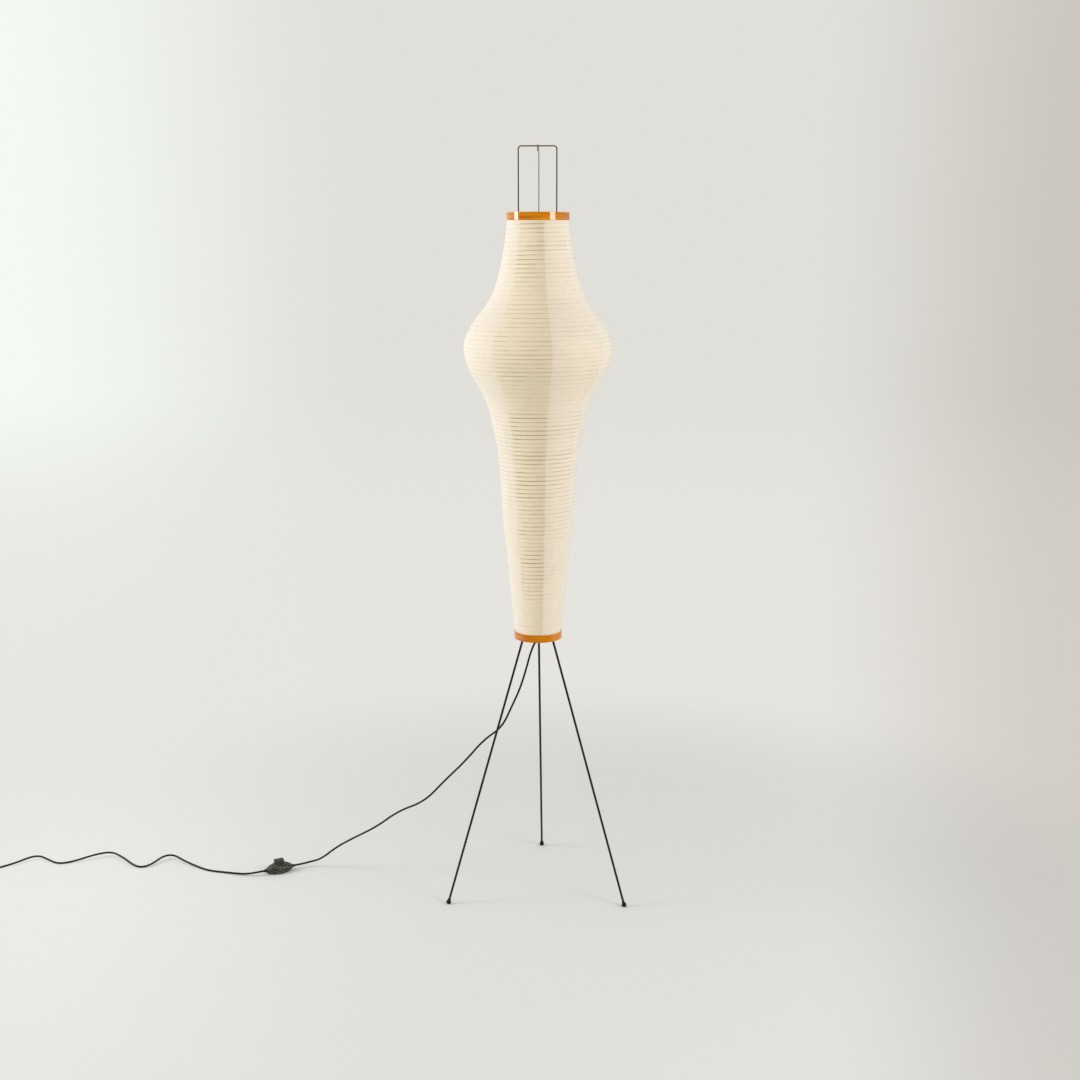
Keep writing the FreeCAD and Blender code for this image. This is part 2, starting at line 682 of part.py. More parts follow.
def make_cords():
    """The two lengths of mains cord that aren't coiled, and the coil of the rest."""
    to_switch = [Vector(*point) for point in route_to_switch] + [switch_exit(1)]
    save("cord_to_switch", tube(to_switch, cord_radius, label="cord_to_switch"))
    to_coil = [switch_exit(-1)] + [Vector(*point) for point in route_to_coil]
    middle = coil_middle_diameter / 2
    coil = ring(middle - coil_half_width, middle + coil_half_width, tie_thickness,
                tie_thickness + coil_height)
    save("cord_to_plug", tube(to_coil, cord_radius, label="cord_to_plug"))
    save("cord_coil", placed(coil, coil_centre, 0))
    half = coil_half_width + slip
    wrap = block(Vector(middle - half - tie_thickness, -tie_width / 2, 0),
                 Vector(middle + half + tie_thickness, tie_width / 2, coil_height + 2 * tie_thickness))
    hole = ring(middle - half, middle + half, tie_thickness - slip, tie_thickness + coil_height + slip)
    save("coil_tie", placed(wrap.cut(hole), coil_centre, tie_azimuth))


def make_plug():
    """The flat two-pin plug, lying on its side face, with its tapered relief and its pins."""
    back = plug_start - Vector(plug_relief_length, 0, 0)
    save("plug_relief", Part.makeCone(cord_radius + slip, plug_relief_end_radius, plug_relief_length,
                                      plug_start, back - plug_start))
    front = back - Vector(plug_length, 0, 0)
    body = block(Vector(front.x, back.y - plug_width / 2, 0), Vector(back.x, back.y + plug_width / 2,
                                                                   plug_height))
    long_edges = [edge for edge in body.Edges if abs(edge.tangentAt(edge.FirstParameter).x) > along_axis]
    save("plug_body", body.makeChamfer(plug_chamfer, long_edges))
    pins = []
    for side in (-1, 1):
        start = front + Vector(0, side * pin_spacing / 2, 0)
        pins.append(rod(start, start - Vector(pin_length, 0, 0), pin_diameter / 2))
    save("plug_pins", group(pins))


os.makedirs("parts", exist_ok=True)
make_legs()
make_hub()
make_wire_frame()
make_hoops()
make_paper()
make_ribs()
make_lampholder()
make_bulb()
make_cord_grip()
make_switch_shells()
make_switch_inside()
make_cords()
make_plug()
print(len(saved), "nodes,", sum(len(shape.Solids) for shape in saved.values()), "solids")
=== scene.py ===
"""Looks of a tall paper lantern floor lamp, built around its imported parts.

Everything is in metres in the parts' own frame: +Z up, the origin on the floor under the shade's axis,
the single rear leg towards +Y.
"""

import json
import logging
import math
from collections.abc import Callable
from dataclasses import dataclass
from enum import Enum
from functools import partial, reduce

import bmesh
import bpy
import numpy as np
from mathutils import Matrix, Vector
from mathutils.geometry import interpolate_bezier


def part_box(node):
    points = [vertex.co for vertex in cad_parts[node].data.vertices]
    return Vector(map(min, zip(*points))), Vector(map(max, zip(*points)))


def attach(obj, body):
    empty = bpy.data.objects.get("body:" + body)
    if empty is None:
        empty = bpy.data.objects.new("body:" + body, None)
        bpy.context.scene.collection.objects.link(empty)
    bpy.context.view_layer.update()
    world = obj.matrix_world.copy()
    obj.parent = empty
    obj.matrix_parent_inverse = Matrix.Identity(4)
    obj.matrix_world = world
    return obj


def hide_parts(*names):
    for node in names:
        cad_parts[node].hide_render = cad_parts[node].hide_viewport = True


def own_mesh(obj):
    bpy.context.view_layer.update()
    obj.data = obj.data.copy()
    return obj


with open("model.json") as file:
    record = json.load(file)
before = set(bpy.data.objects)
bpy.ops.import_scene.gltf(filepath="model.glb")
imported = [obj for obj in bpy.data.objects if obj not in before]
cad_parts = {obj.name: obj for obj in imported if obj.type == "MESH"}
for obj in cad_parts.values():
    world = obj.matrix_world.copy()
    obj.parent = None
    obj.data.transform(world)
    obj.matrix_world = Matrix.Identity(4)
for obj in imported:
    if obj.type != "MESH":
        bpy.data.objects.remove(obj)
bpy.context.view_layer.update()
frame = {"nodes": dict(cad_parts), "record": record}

log = logging.getLogger("lamp")
MM = 0.001
FULL_TURN = 2 * math.pi
MERGE_DISTANCE = 1e-6
SHARP_ANGLE = math.radians(35)
BODIES = frame["record"]["behaviour"]["bodies"]
BODY_OF_NODE = {node: body for body, nodes in BODIES.items() for node in nodes}


# ---- colours and shader nodes
Socket = bpy.types.NodeSocket
AddNode = Callable[..., Socket]
SMOOTH = {"interpolation_type": "SMOOTHSTEP"}
# a Mix node takes its colours at sockets 6 and 7 and gives the mix at socket 2
COLOUR_MIX = {"output": 2, "data_type": "RGBA"}


def linear(code: str) -> tuple[float, float, float, float]:
    """Turn a hex colour, as a screen shows it, into linear light.

    Args:
        code: Six hex digits with a leading hash.

    Returns:
        Red, green, blue and an alpha of 1.
    """
    parts = [int(code[i:i + 2], 16) / 255 for i in (1, 3, 5)]
    light = [c / 12.92 if c <= 0.04045 else ((c + 0.055) / 1.055) ** 2.4 for c in parts]
    return (light[0], light[1], light[2], 1.0)


def grey(strength: float) -> tuple[float, float, float, float]:
    """A strength as the grey of a colour ramp's stop."""
    return (strength, strength, strength, 1.0)


def add_node(tree: bpy.types.NodeTree, kind: str, inputs: dict | tuple = (), output: int | str = 0,
             **settings: object) -> Socket | None:
    """Add one shader node with its settings, values and links.

    Args:
        tree: The node tree that gets the node.
        kind: The node's type name without the ShaderNode in front.
        inputs: A value, or the output socket of another node, for each input: by name or number, or in order.
        output: The name or number of the output to hand back.
        **settings: The node's own properties.

    Returns:
        The chosen output socket, or None from a node that has none.
    """
    node = tree.nodes.new("ShaderNode" + kind)
    for name, value in settings.items():
        setattr(node, name, value)
    for name, value in inputs.items() if isinstance(inputs, dict) else enumerate(inputs):
        if isinstance(value, Socket):
            tree.links.new(value, node.inputs[name])
        else:
            node.inputs[name].default_value = value
    return node.outputs[output] if node.outputs else None


def new_material(name: str, shader: Callable[[AddNode], Socket]) -> bpy.types.Material:
    """A material around one shader.

    Args:
        name: The real material's name.
        shader: Builds the shader from the node-adding function that it is given.

    Returns:
        The material.
    """
    material = bpy.data.materials.new(name)
    material.use_nodes = True
    material.node_tree.nodes.clear()
    node = partial(add_node, material.node_tree)
    node("OutputMaterial", (shader(node),))
    return material


# ---- finishes
@dataclass(frozen=True)
class Coating:
    """A smooth coated, moulded or turned surface with fine grain and slow colour drift.

    The grain is bump of a real depth. The drift is the small change of colour that handling and making leave.
    A seam height above 0 gives the level of a fine dark joint between two mouldings.
    """

    name: str
    colour: str
    drift_colour: str
    roughness: float
    grain: float
    depth: float
    drift: float
    metallic: float = 0.0
    coat: float = 0.0
    specular: float = 0.5
    stretch: tuple = (1, 1, 1)
    blotch_edges: tuple = (0.3, 0.7)
    grain_edges: tuple = (0.2, 0.8)
    smoother: float = 0.05
    rougher: float = 0.07
    seam_height: float = 0.0
    seam_edges: tuple = (0.25 * MM, 0.5 * MM)
    seam_strength: float = 0.8
    seam_colour: str = "#060606"

    def shader(self, node: AddNode) -> Socket:
        """Build the finish.

        Args:
            node: Adds a node.

        Returns:
            The shader's socket.
        """
        place = node("TexCoord", output="Object")
        drift = node("TexNoise", {"Vector": place, "Scale": 1 / self.drift})
        blotches = node("MapRange", (drift, *self.blotch_edges), **SMOOTH)
        stretched = node("Mapping", {"Vector": place, "Scale": self.stretch})
        fine = node("TexNoise", {"Vector": stretched, "Scale": 1 / self.grain, "Detail": 3.0})
        colour = node("Mix", {"Factor": blotches, 6: linear(self.colour), 7: linear(self.drift_colour)},
                      **COLOUR_MIX)
        if self.seam_height:
            height = node("SeparateXYZ", (place,), 2)
            above = node("Math", (height, self.seam_height), operation="SUBTRACT")
            off = node("Math", (above,), operation="ABSOLUTE")
            joint = node("MapRange", (off, *self.seam_edges, self.seam_strength, 0.0))
            colour = node("Mix", {"Factor": joint, 6: colour, 7: linear(self.seam_colour)}, **COLOUR_MIX)
        return node("BsdfPrincipled", {
            "Base Color": colour, "Metallic": self.metallic, "Specular IOR Level": self.specular,
            "Roughness": node("MapRange", (fine, *self.grain_edges, self.roughness - self.smoother,
                                           self.roughness + self.rougher)),
            "Coat Weight": self.coat, "Coat Roughness": 0.08,
            "Normal": node("Bump", {"Height": fine, "Distance": self.depth})})


@dataclass(frozen=True)
class BarSheenWire:
    """Dark lacquered steel wire with a painted reflection: a brown sheen along the top of its top bar."""

    name: str = "dark_lacquered_wire"
    colour: str = "#211F1A"
    # painted reflection: a brown sheen on the top bar's upper side, above these heights, in patches of this
    # size
    sheen_colour: str = "#6B5326"
    sheen_heights: tuple = (1.8425, 1.8465)
    sheen_patch: float = 4 * MM
    sheen_patch_edges: tuple = (0.3, 0.6)
    least_sheen: float = 0.75
    # drawn wire under thin lacquer keeps a 0.4 mm ripple, drawn out along the wire
    ripple: float = 0.4 * MM
    ripple_stretch: tuple = (1, 1, 0.1)
    ripple_edges: tuple = (0.2, 0.8)
    roughness: tuple = (0.38, 0.48)

    def shader(self, node: AddNode) -> Socket:
        """Build the finish.

        Args:
            node: Adds a node.

        Returns:
            The shader's socket.
        """
        place = node("TexCoord", output="Object")
        height = node("SeparateXYZ", (place,), 2)
        # painted reflection: brown on the top of the top bar
        bar_top_sheen = node("MapRange", (height, *self.sheen_heights), **SMOOTH)
        patches = node("TexNoise", {"Vector": place, "Scale": 1 / self.sheen_patch})
        patches = node("MapRange", (patches, *self.sheen_patch_edges, self.least_sheen))
        share = node("Math", (bar_top_sheen, patches), operation="MULTIPLY")
        drawn = node("Mapping", {"Vector": place, "Scale": self.ripple_stretch})
        ripple = node("TexNoise", {"Vector": drawn, "Scale": 1 / self.ripple})
        return node("BsdfPrincipled", {
            "Base Color": node("Mix", {"Factor": share, 6: linear(self.colour), 7: linear(self.sheen_colour)},
                               **COLOUR_MIX),
            "Metallic": 0.2, "Specular IOR Level": 0.35,
            "Roughness": node("MapRange", (ripple, *self.ripple_edges, *self.roughness)),
            "Normal": node("Bump", {"Height": ripple, "Distance": 0.02 * MM})})


@dataclass(frozen=True)
class BentStrip:
    """A bent strip of wood. Its long grain runs round the hoop, under clear varnish or bare.

    It reads the piece's own map: metres round the hoop, and metres up.
    """

    name: str
    dark: str
    light: str
    roughness: float
    coat: float
    grain_length: float = 60 * MM
    grain_width: float = 0.7 * MM
    grain_edges: tuple = (0.3, 0.7)
    rougher: float = 0.1
    band_width: float = 6 * MM
    band_stretch: float = 0.06
    # 60 parts of fine grain to 40 of broad bands
    grain_share: float = 0.6
    tone_edges: tuple = (0.38, 0.62)

    def shader(self, node: AddNode) -> Socket:
        """Build the finish.

        Args:
            node: Adds a node.

        Returns:
            The shader's socket.
        """
        strip = node("UVMap", uv_map="strip")
        drawn = node("Mapping", {"Vector": strip, "Scale": (self.grain_width / self.grain_length, 1, 1)})
        grain = node("TexNoise", {"Vector": drawn, "Scale": 1 / self.grain_width, "Detail": 4.0})
        drawn = node("Mapping", {"Vector": strip, "Scale": (self.band_stretch, 1, 1)})
        bands = node("TexNoise", {"Vector": drawn, "Scale": 1 / self.band_width})
        fine = node("Math", (grain, self.grain_share), operation="MULTIPLY")
        tone = node("Math", (bands, 1 - self.grain_share, fine), operation="MULTIPLY_ADD")
        share = node("MapRange", (tone, *self.tone_edges), **SMOOTH)
        return node("BsdfPrincipled", {
            "Base Color": node("Mix", {"Factor": share, 6: linear(self.dark), 7: linear(self.light)},
                               **COLOUR_MIX),
            "Roughness": node("MapRange", (grain, *self.grain_edges, self.roughness,
                                           self.roughness + self.rougher)),
            "Coat Weight": self.coat, "Coat Roughness": 0.06, "Coat IOR": 1.65, "Specular IOR Level": 0.0,
            "Normal": node("Bump", {"Height": grain, "Distance": 0.03 * MM})})


@dataclass(frozen=True)
class MulberryPaper:
    """Thin mulberry paper, glued in gores over a rib. Light passes through it.

    It reads the piece's own map: U is a share of the turn from the first seam, and V counts rib turns.
    Each gore is a sheet of its own tone, as hand-made paper is; the last gore's darker tone is partly its own
    and partly painted shade, which deepens towards its far edge. Its glued edge lies double, and the rib's
    glue, with painted shade along the rib, shows as a darker line. The paper is painted a little darker below
    the belly and brighter towards the neck.
    """

    name: str = "mulberry_paper"
    # each sheet's tone at its first and its last edge; in the last sheet it is partly painted shade,
    # darkening towards its far edge
    tones: tuple = (("#F7ECDB", "#F9EFE0"), ("#F9F3E8", "#F9F3E6"), ("#F9F2E4", "#F8F0E0"),
                    ("#F7EFDD", "#F6EDD9"), ("#FAF3E6", "#F9F1E2"), ("#FBF4E8", "#FCF5EA"),
                    ("#FCF6EC", "#FEF5E6"), ("#FDF2DA", "#F1E4CA"))
    # how strongly the rib's line, its glue with painted shade along the rib, shows in each sheet, and at each
    # height
    rib_marks: tuple = (0.52, 0.32, 0.45, 0.55, 0.40, 0.30, 0.30, 0.95)
    rib_mark_heights: tuple = (
        (0.66, 0.05), (0.765, 0.15), (0.78, 1.0), (0.86, 1.0), (0.89, 0.7), (0.96, 0.65), (1.05, 0.85),
        (1.22, 0.85), (1.24, 0.2), (1.30, 0.2), (1.32, 0.55), (1.42, 0.5), (1.45, 0.35), (1.52, 0.4),
        (1.56, 0.65), (1.67, 0.7), (1.69, 0.4))
    # the rib's line: its glue, darkened further with painted shade along the rib
    line_colour: str = "#A08A60"
    # where a line fades out, from its middle, in shares of the rib's pitch
    line_edges: tuple = (0.04, 0.15)
    # where the double paper ends, and the blend at each seam, in shares of a gore and of the turn
    glue_edges: tuple = (0.045, 0.085)
    seam_softness: float = 0.012
    # low down the rib shows only in the sheets where it is strong: the heights between which that sets in
    fading: tuple = (0.88, 0.98)
    fading_power: float = 2.6
    # painted light: the paper is painted a little darker below the belly and brighter towards the neck:
    # the heights, and the paper's brightness there
    painted_height_light: tuple = (1.38, 1.52, 0.995, 1.012)
    # the glue wets the paper more in some stretches: blotches of 80 mm round and 30 mm up
    blotch: float = 60 * MM
    blotch_stretch: tuple = (0.7, 0.7, 2.0)
    blotch_strengths: tuple = (0.38, 0.62, 0.35, 1.0)
    # kozo fibres are 10 mm long and 0.02 mm thick: drawn 0.6 mm thick, as fine as shows
    fibre: float = 0.6 * MM
    fibre_stretch: tuple = (0.12, 0.12, 1.0)
    fibre_brightness: tuple = (0.3, 0.7, 0.985, 1.015)
    # the pulp lies thicker and thinner in clouds of 14 mm
    cloud: float = 14 * MM
    cloud_brightness: tuple = (0.3, 0.7, 0.965, 1.015)
    double_brightness: float = 0.98
    # the shares of the fibres and of the glued edge in the paper's relief
    fibre_relief: float = 0.6
    glued_relief: float = 0.4
    relief: float = 0.08 * MM
    translucence: float = 0.22

    def by_gore(self, node: AddNode, turn: Socket, colours: list[tuple]) -> Socket:
        """A run of colour across each gore, with a short blend where one sheet laps over the next.

        Args:
            node: Adds a node.
            turn: The share of the turn from the first seam.
            colours: A pair of linear colours for each gore, at its first and its last edge.

        Returns:
            The colour's socket.
        """
        ramp = node("ValToRGB", (turn,))
        stops = ramp.node.color_ramp.elements
        stops.remove(stops[1])
        stops[0].position = self.seam_softness
        stops[0].color = colours[0][0]
        for index, (first, last) in enumerate(colours):
            if index:
                stops.new(index / len(colours) + self.seam_softness).color = first
            stops.new((index + 1) / len(colours) - self.seam_softness).color = last
        return ramp

    def by_height(self, node: AddNode, height: Socket) -> Socket:
        """How strongly the rib shows at a height.

        Args:
            node: Adds a node.
            height: The height above the floor.

        Returns:
            The strength's socket.
        """
        low = self.rib_mark_heights[0][0]
        high, last = self.rib_mark_heights[-1]
        ramp = node("ValToRGB", (node("MapRange", (height, low, high)),))
        stops = ramp.node.color_ramp.elements
        stops[1].color = grey(last)
        for at, mark in self.rib_mark_heights[:-1]:
            share = (at - low) / (high - low)
            stop = stops.new(share) if share else stops[0]
            stop.color = grey(mark)
        return ramp

    def shader(self, node: AddNode) -> Socket:
        """Build the finish.

        Args:
            node: Adds a node.

        Returns:
            The shader's socket.
        """
        gores = node("UVMap", uv_map="gores")
        turn = node("SeparateXYZ", (gores,), 0)
        row = node("SeparateXYZ", (gores,), 1)
        place = node("TexCoord", output="Object")
        height = node("SeparateXYZ", (place,), 2)
        # the sheets' tones, with painted shade in the last one
        tones = self.by_gore(node, turn, [(linear(first), linear(last)) for first, last in self.tones])
        marks = self.by_gore(node, turn, [(grey(mark), grey(mark)) for mark in self.rib_marks])
        across = node("Math", (turn, float(len(self.tones))), operation="MULTIPLY")
        in_gore = node("Math", (across,), operation="FRACT")
        glued = node("MapRange", (in_gore, *self.glue_edges, 1.0, 0.0), **SMOOTH)
        to_rib = node("Math", (row, 0.5), operation="PINGPONG")
        line = node("MapRange", (to_rib, *self.line_edges, 1.0, 0.0), **SMOOTH)
        blotches = node("Mapping", {"Vector": place, "Scale": self.blotch_stretch})
        blotches = node("TexNoise", {"Vector": blotches, "Scale": 1 / self.blotch})
        along = node("Mapping", {"Vector": place, "Scale": self.fibre_stretch})
        fibres = node("TexNoise", {"Vector": along, "Scale": 1 / self.fibre, "Detail": 3.0})
        clouds = node("TexNoise", {"Vector": place, "Scale": 1 / self.cloud, "Detail": 4.0})
        power = node("MapRange", (height, *self.fading, self.fading_power, 1.0))
        brightness = (node("MapRange", (clouds, *self.cloud_brightness)),
                      node("MapRange", (fibres, *self.fibre_brightness)),
                      node("MapRange", (glued, 0.0, 1.0, 1.0, self.double_brightness)),
                      # painted light: brighter towards the neck, darker below the belly
                      node("MapRange", (height, *self.painted_height_light), **SMOOTH))
        strength = (line, node("MapRange", (blotches, *self.blotch_strengths), **SMOOTH),
                    node("Math", (marks, power), operation="POWER"), self.by_height(node, height))
        shade, marked = (
            reduce(lambda whole, factor: node("Math", (whole, factor), operation="MULTIPLY"), factors)
            for factors in (brightness, strength))
        toned = node("VectorMath", {0: tones, "Scale": shade}, operation="SCALE")
        # the rib's line: its glue and painted shade
        colour = node("Mix", {"Factor": marked, 6: toned, 7: linear(self.line_colour)}, **COLOUR_MIX)
        raised = node("Math", (fibres, self.fibre_relief), operation="MULTIPLY")
        raised = node("Math", (glued, self.glued_relief, raised), operation="MULTIPLY_ADD")
        normal = node("Bump", {"Height": raised, "Distance": self.relief})
        front = node("BsdfPrincipled", {"Base Color": colour, "Roughness": 0.95, "Specular IOR Level": 0.1,
                                        "Normal": normal})
        through = node("BsdfTranslucent", {"Color": colour, "Normal": normal})
        return node("MixShader", (self.translucence, front, through))


@dataclass(frozen=True)
class WovenTape:
    """Black woven hook tape with a 0.6 mm plain weave."""

    name: str = "woven_tape"
    colour: str = "#161616"
    thread_colour: str = "#2C2C2C"
    thread: float = 0.6 * MM

    def shader(self, node: AddNode) -> Socket:
        """Build the finish.

        Args:
            node: Adds a node.

        Returns:
            The shader's socket.
        """
        place = node("TexCoord", output="Object")
        checks = node("TexChecker", {"Vector": place, "Scale": 1 / self.thread}, 1)
        fuzz = node("TexNoise", {"Vector": place, "Scale": 1 / self.thread, "Detail": 1.0})
        weave = node("Math", (checks, fuzz), operation="MULTIPLY")
        return node("BsdfPrincipled", {
            "Base Color": node("Mix", {"Factor": weave, 6: linear(self.colour),
                                       7: linear(self.thread_colour)}, **COLOUR_MIX),
            "Roughness": 0.9, "Normal": node("Bump", {"Height": weave, "Distance": 0.15 * MM})})


class Finish(Enum):
    """The lamp's finishes, each made once."""

    # drawn mild steel rod under sprayed black lacquer: deep, satin, with a slight peel
    BLACK_LACQUER = Coating("black_lacquered_steel", "#0D0B09", "#1A1610", 0.42, 2.5 * MM, 0.02 * MM, 0.06,
                            specular=0.3)
    # moulded natural rubber: matt and a little dusty
    FOOT_RUBBER = Coating("black_foot_rubber", "#0D0D0C", "#171614", 0.75, 0.5 * MM, 0.04 * MM, 0.006,
                          specular=0.3)
    # extruded PVC sheath: satin black, smooth along its length
    CORD_SHEATH = Coating("black_pvc_sheath", "#080807", "#121110", 0.5, 1.2 * MM, 0.02 * MM, 0.04,
                          specular=0.25)
    # ABS from a coarse spark-eroded mould: grey-black, a pebbled grain of 1.6 mm and paler specks
    SWITCH_SHELL = Coating("pebbled_dark_abs", "#20211E", "#66685F", 0.5, 1.6 * MM, 0.30 * MM, 3.0 * MM,
                           specular=0.35, blotch_edges=(0.44, 0.66), seam_height=10.5 * MM)
    # the same plastic with a finer grain on the button
    SWITCH_BUTTON = Coating("fine_dark_abs", "#2B2C29", "#42433D", 0.5, 0.8 * MM, 0.10 * MM, 3 * MM,
                            specular=0.35)
    # PVC overmoulding: matt black
    PLUG_PVC = Coating("moulded_black_pvc", "#0E0E0D", "#1B1A19", 0.55, 0.6 * MM, 0.04 * MM, 0.01,
                       specular=0.3)
    # phenolic resin lampholder: dark, glossy
    PHENOLIC = Coating("black_phenolic", "#15110E", "#231B15", 0.26, 1.5 * MM, 0.01 * MM, 0.02, coat=0.3)
    # turned brass with fine rings
    BRASS = Coating("turned_brass", "#C9A45A", "#B58D45", 0.3, 0.25 * MM, 0.01 * MM, 0.01, metallic=1.0,
                    stretch=(0.2, 0.2, 4))
    # zinc plate on steel: pale and slightly cloudy
    ZINC = Coating("zinc_plated_steel", "#BFC1C2", "#A4A7AA", 0.34, 0.6 * MM, 0.01 * MM, 0.008, metallic=1.0)
    # blackened screws
    BLACK_OXIDE = Coating("blackened_steel", "#34322E", "#4A463F", 0.4, 0.4 * MM, 0.01 * MM, 0.005,
                          metallic=0.8)
    # rolled aluminium lamp cap
    ALUMINIUM = Coating("rolled_aluminium", "#C8CACC", "#B5B7B9", 0.32, 0.5 * MM, 0.01 * MM, 0.01,
                        metallic=1.0)
    # steatite insert: white and matt
    STEATITE = Coating("white_steatite", "#E9E5D8", "#DCD7C8", 0.6, 0.8 * MM, 0.03 * MM, 0.01)
    # opal glass: even white with a clear gloss
    OPAL = Coating("opal_glass", "#EFEDE6", "#E8E6DE", 0.25, 5 * MM, 0.005 * MM, 0.02, coat=0.2)
    # split bamboo: pale straw, long fibres
    BAMBOO = Coating("split_bamboo", "#C9AE72", "#B09257", 0.6, 0.5 * MM, 0.04 * MM, 0.02)
    # dark lacquered wire with a painted brown reflection on its top bar
    WIRE = BarSheenWire()
    # beech strip under amber spirit varnish: clear deep gloss over warm grain
    AMBER_STRIP = BentStrip("amber_varnished_strip", "#AF5E02", "#DE8E06", 0.4, 1.0)
    # the inner strip has one thin coat of the same varnish
    INNER_STRIP = BentStrip("thinly_varnished_strip", "#B06A1C", "#CF9036", 0.5, 0.3)
    PAPER = MulberryPaper()
    TAPE = WovenTape()

    def material(self) -> bpy.types.Material:
        """The finish's material, made at its first use."""
        return bpy.data.materials.get(self.value.name) or new_material(self.value.name, self.value.shader)


# ---- pieces
def add_object(name: str, data: bpy.types.ID) -> bpy.types.Object:
    """Put a new object into the scene.

    Args:
        name: The object's name.
        data: What it shows.

    Returns:
        The object.
    """
    item = bpy.data.objects.new(name, data)
    bpy.context.scene.collection.objects.link(item)
    return item


def mesh_object(bm: bmesh.types.BMesh, name: str, material: bpy.types.Material) -> bpy.types.Object:
    """Turn a bmesh into a smooth object with its sharp edges kept.

    Args:
        bm: The shape in the lamp's frame. It is freed.
        name: The object's name.
        material: Its material.

    Returns:
        The new object at the origin.
    """
    for face in bm.faces:
        face.smooth = True
    for edge in bm.edges:
        edge.smooth = len(edge.link_faces) != 2 or edge.calc_face_angle() < SHARP_ANGLE
    mesh = bpy.data.meshes.new(name)
    bm.to_mesh(mesh)
    bm.free()
    mesh.materials.append(material)
    return add_object(name, mesh)


def settle(piece: bpy.types.Object, *nodes: str) -> bpy.types.Object:
    """Let a piece stand for parts: it rides with their body, and they are hidden.

    Args:
        piece: The finished piece.
        *nodes: The parts' nodes. The first one gives the body.

    Returns:
        The piece.
    """
    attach(piece, BODY_OF_NODE[nodes[0]])
    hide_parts(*nodes)
    log.info("%s stands for %s", piece.name, ", ".join(nodes))
    return piece


def piece_from(bm: bmesh.types.BMesh, name: str, finish: Finish, node: str) -> bpy.types.Object:
    """Turn a bmesh into the piece that stands for one part.

    Args:
        bm: The shape in the lamp's frame. It is freed.
        name: The piece's name.
        finish: Its finish.
        node: The part's node.

    Returns:
        The piece, settled.
    """
    return settle(mesh_object(bm, name, finish.material()), node)


def skin(node: str, finish: Finish) -> bpy.types.Object:
    """Make a smooth copy of one part's own mesh.

    Args:
        node: The part's node.
        finish: Its finish.

    Returns:
        The piece, settled.
    """
    bm = bmesh.new()
    bm.from_mesh(frame["nodes"][node].data)
    bmesh.ops.remove_doubles(bm, verts=bm.verts, dist=MERGE_DISTANCE)
    return piece_from(bm, node + "_piece", finish, node)


def whole(bm: bmesh.types.BMesh) -> list:
    """All the geometry of a bmesh."""
    return [*bm.verts, *bm.edges, *bm.faces]


def shift(bm: bmesh.types.BMesh, geometry: list, offset: tuple) -> None:
    """Move the vertices among some geometry."""
    moved = [item for item in geometry if isinstance(item, bmesh.types.BMVert)]
    bmesh.ops.translate(bm, verts=moved, vec=offset)


def round_off(bm: bmesh.types.BMesh, edges: list, width: float) -> None:
    """Round edges off in four steps."""
    bmesh.ops.bevel(bm, geom=edges, offset=width, offset_type="OFFSET", affect="EDGES", segments=4,
                    profile=0.5, material=-1)


def polar(radius: float, angle: float) -> tuple[float, float]:
    """The two coordinates of a point at a distance and an angle."""
    return radius * math.cos(angle), radius * math.sin(angle)


def spun(line: list[tuple], closed: bool, steps: int, rise: float = 0.0,
         merge: float = MERGE_DISTANCE) -> bmesh.types.BMesh:
    """Spin a line one turn about the Z axis.

    Args:
        line: The line's points.
        closed: Whether its last point joins its first.
        steps: The number of steps in the turn.
        rise: How far the line climbs in the turn.
        merge: How near to each other points are merged.

    Returns:
        The surface.
    """
    bm = bmesh.new()
    points = [bm.verts.new(point) for point in line]
    edges = [bm.edges.new(pair) for pair in zip(points, points[1:])]
    if closed:
        edges.append(bm.edges.new((points[-1], points[0])))
    bmesh.ops.spin(bm, geom=points + edges, cent=(0, 0, 0), axis=(0, 0, 1), dvec=(0, 0, rise / steps),
                   angle=FULL_TURN, steps=steps, use_merge=not rise)
    bmesh.ops.remove_doubles(bm, verts=bm.verts, dist=merge)
    return bm


def lathe(profile: list[tuple[float, float]], steps: int) -> bmesh.types.BMesh:
    """Turn a closed shape about the Z axis.

    Args:
        profile: Radius and height of each point. A profile that ends on the axis closes there, and one that
            starts and ends off the axis is joined into a ring.
        steps: The number of steps in the turn.

    Returns:
        The closed shape.
    """
    ring = profile[0][0] > 0 and profile[-1][0] > 0
    bm = spun([(radius, 0, height) for radius, height in profile], ring, steps)
    bmesh.ops.recalc_face_normals(bm, faces=bm.faces)
    return bm


def aim(start: Vector, direction: Vector) -> Matrix:
    """A placement that turns +Z to a direction and moves the origin to a point."""
    return Matrix.Translation(start) @ direction.to_track_quat("Z", "Y").to_matrix().to_4x4()


def turns_round(face: bmesh.types.BMFace, start: float) -> list[float]:
    """How far round each corner of a face lies.

    Args:
        face: A face that spans less than half a turn.
        start: The angle where the turn starts.

    Returns:
        Each corner's share of the turn, which runs on past 1 where the face lies across the start.
    """
    turns = [(math.atan2(loop.vert.co.y, loop.vert.co.x) - start) / FULL_TURN % 1.0 for loop in face.loops]
    turns = [0.0 if turn > 1 - MERGE_DISTANCE else turn for turn in turns]
    crosses = max(turns) - min(turns) > 0.5
    return [turn + 1 if crosses and turn < 0.5 else turn for turn in turns]


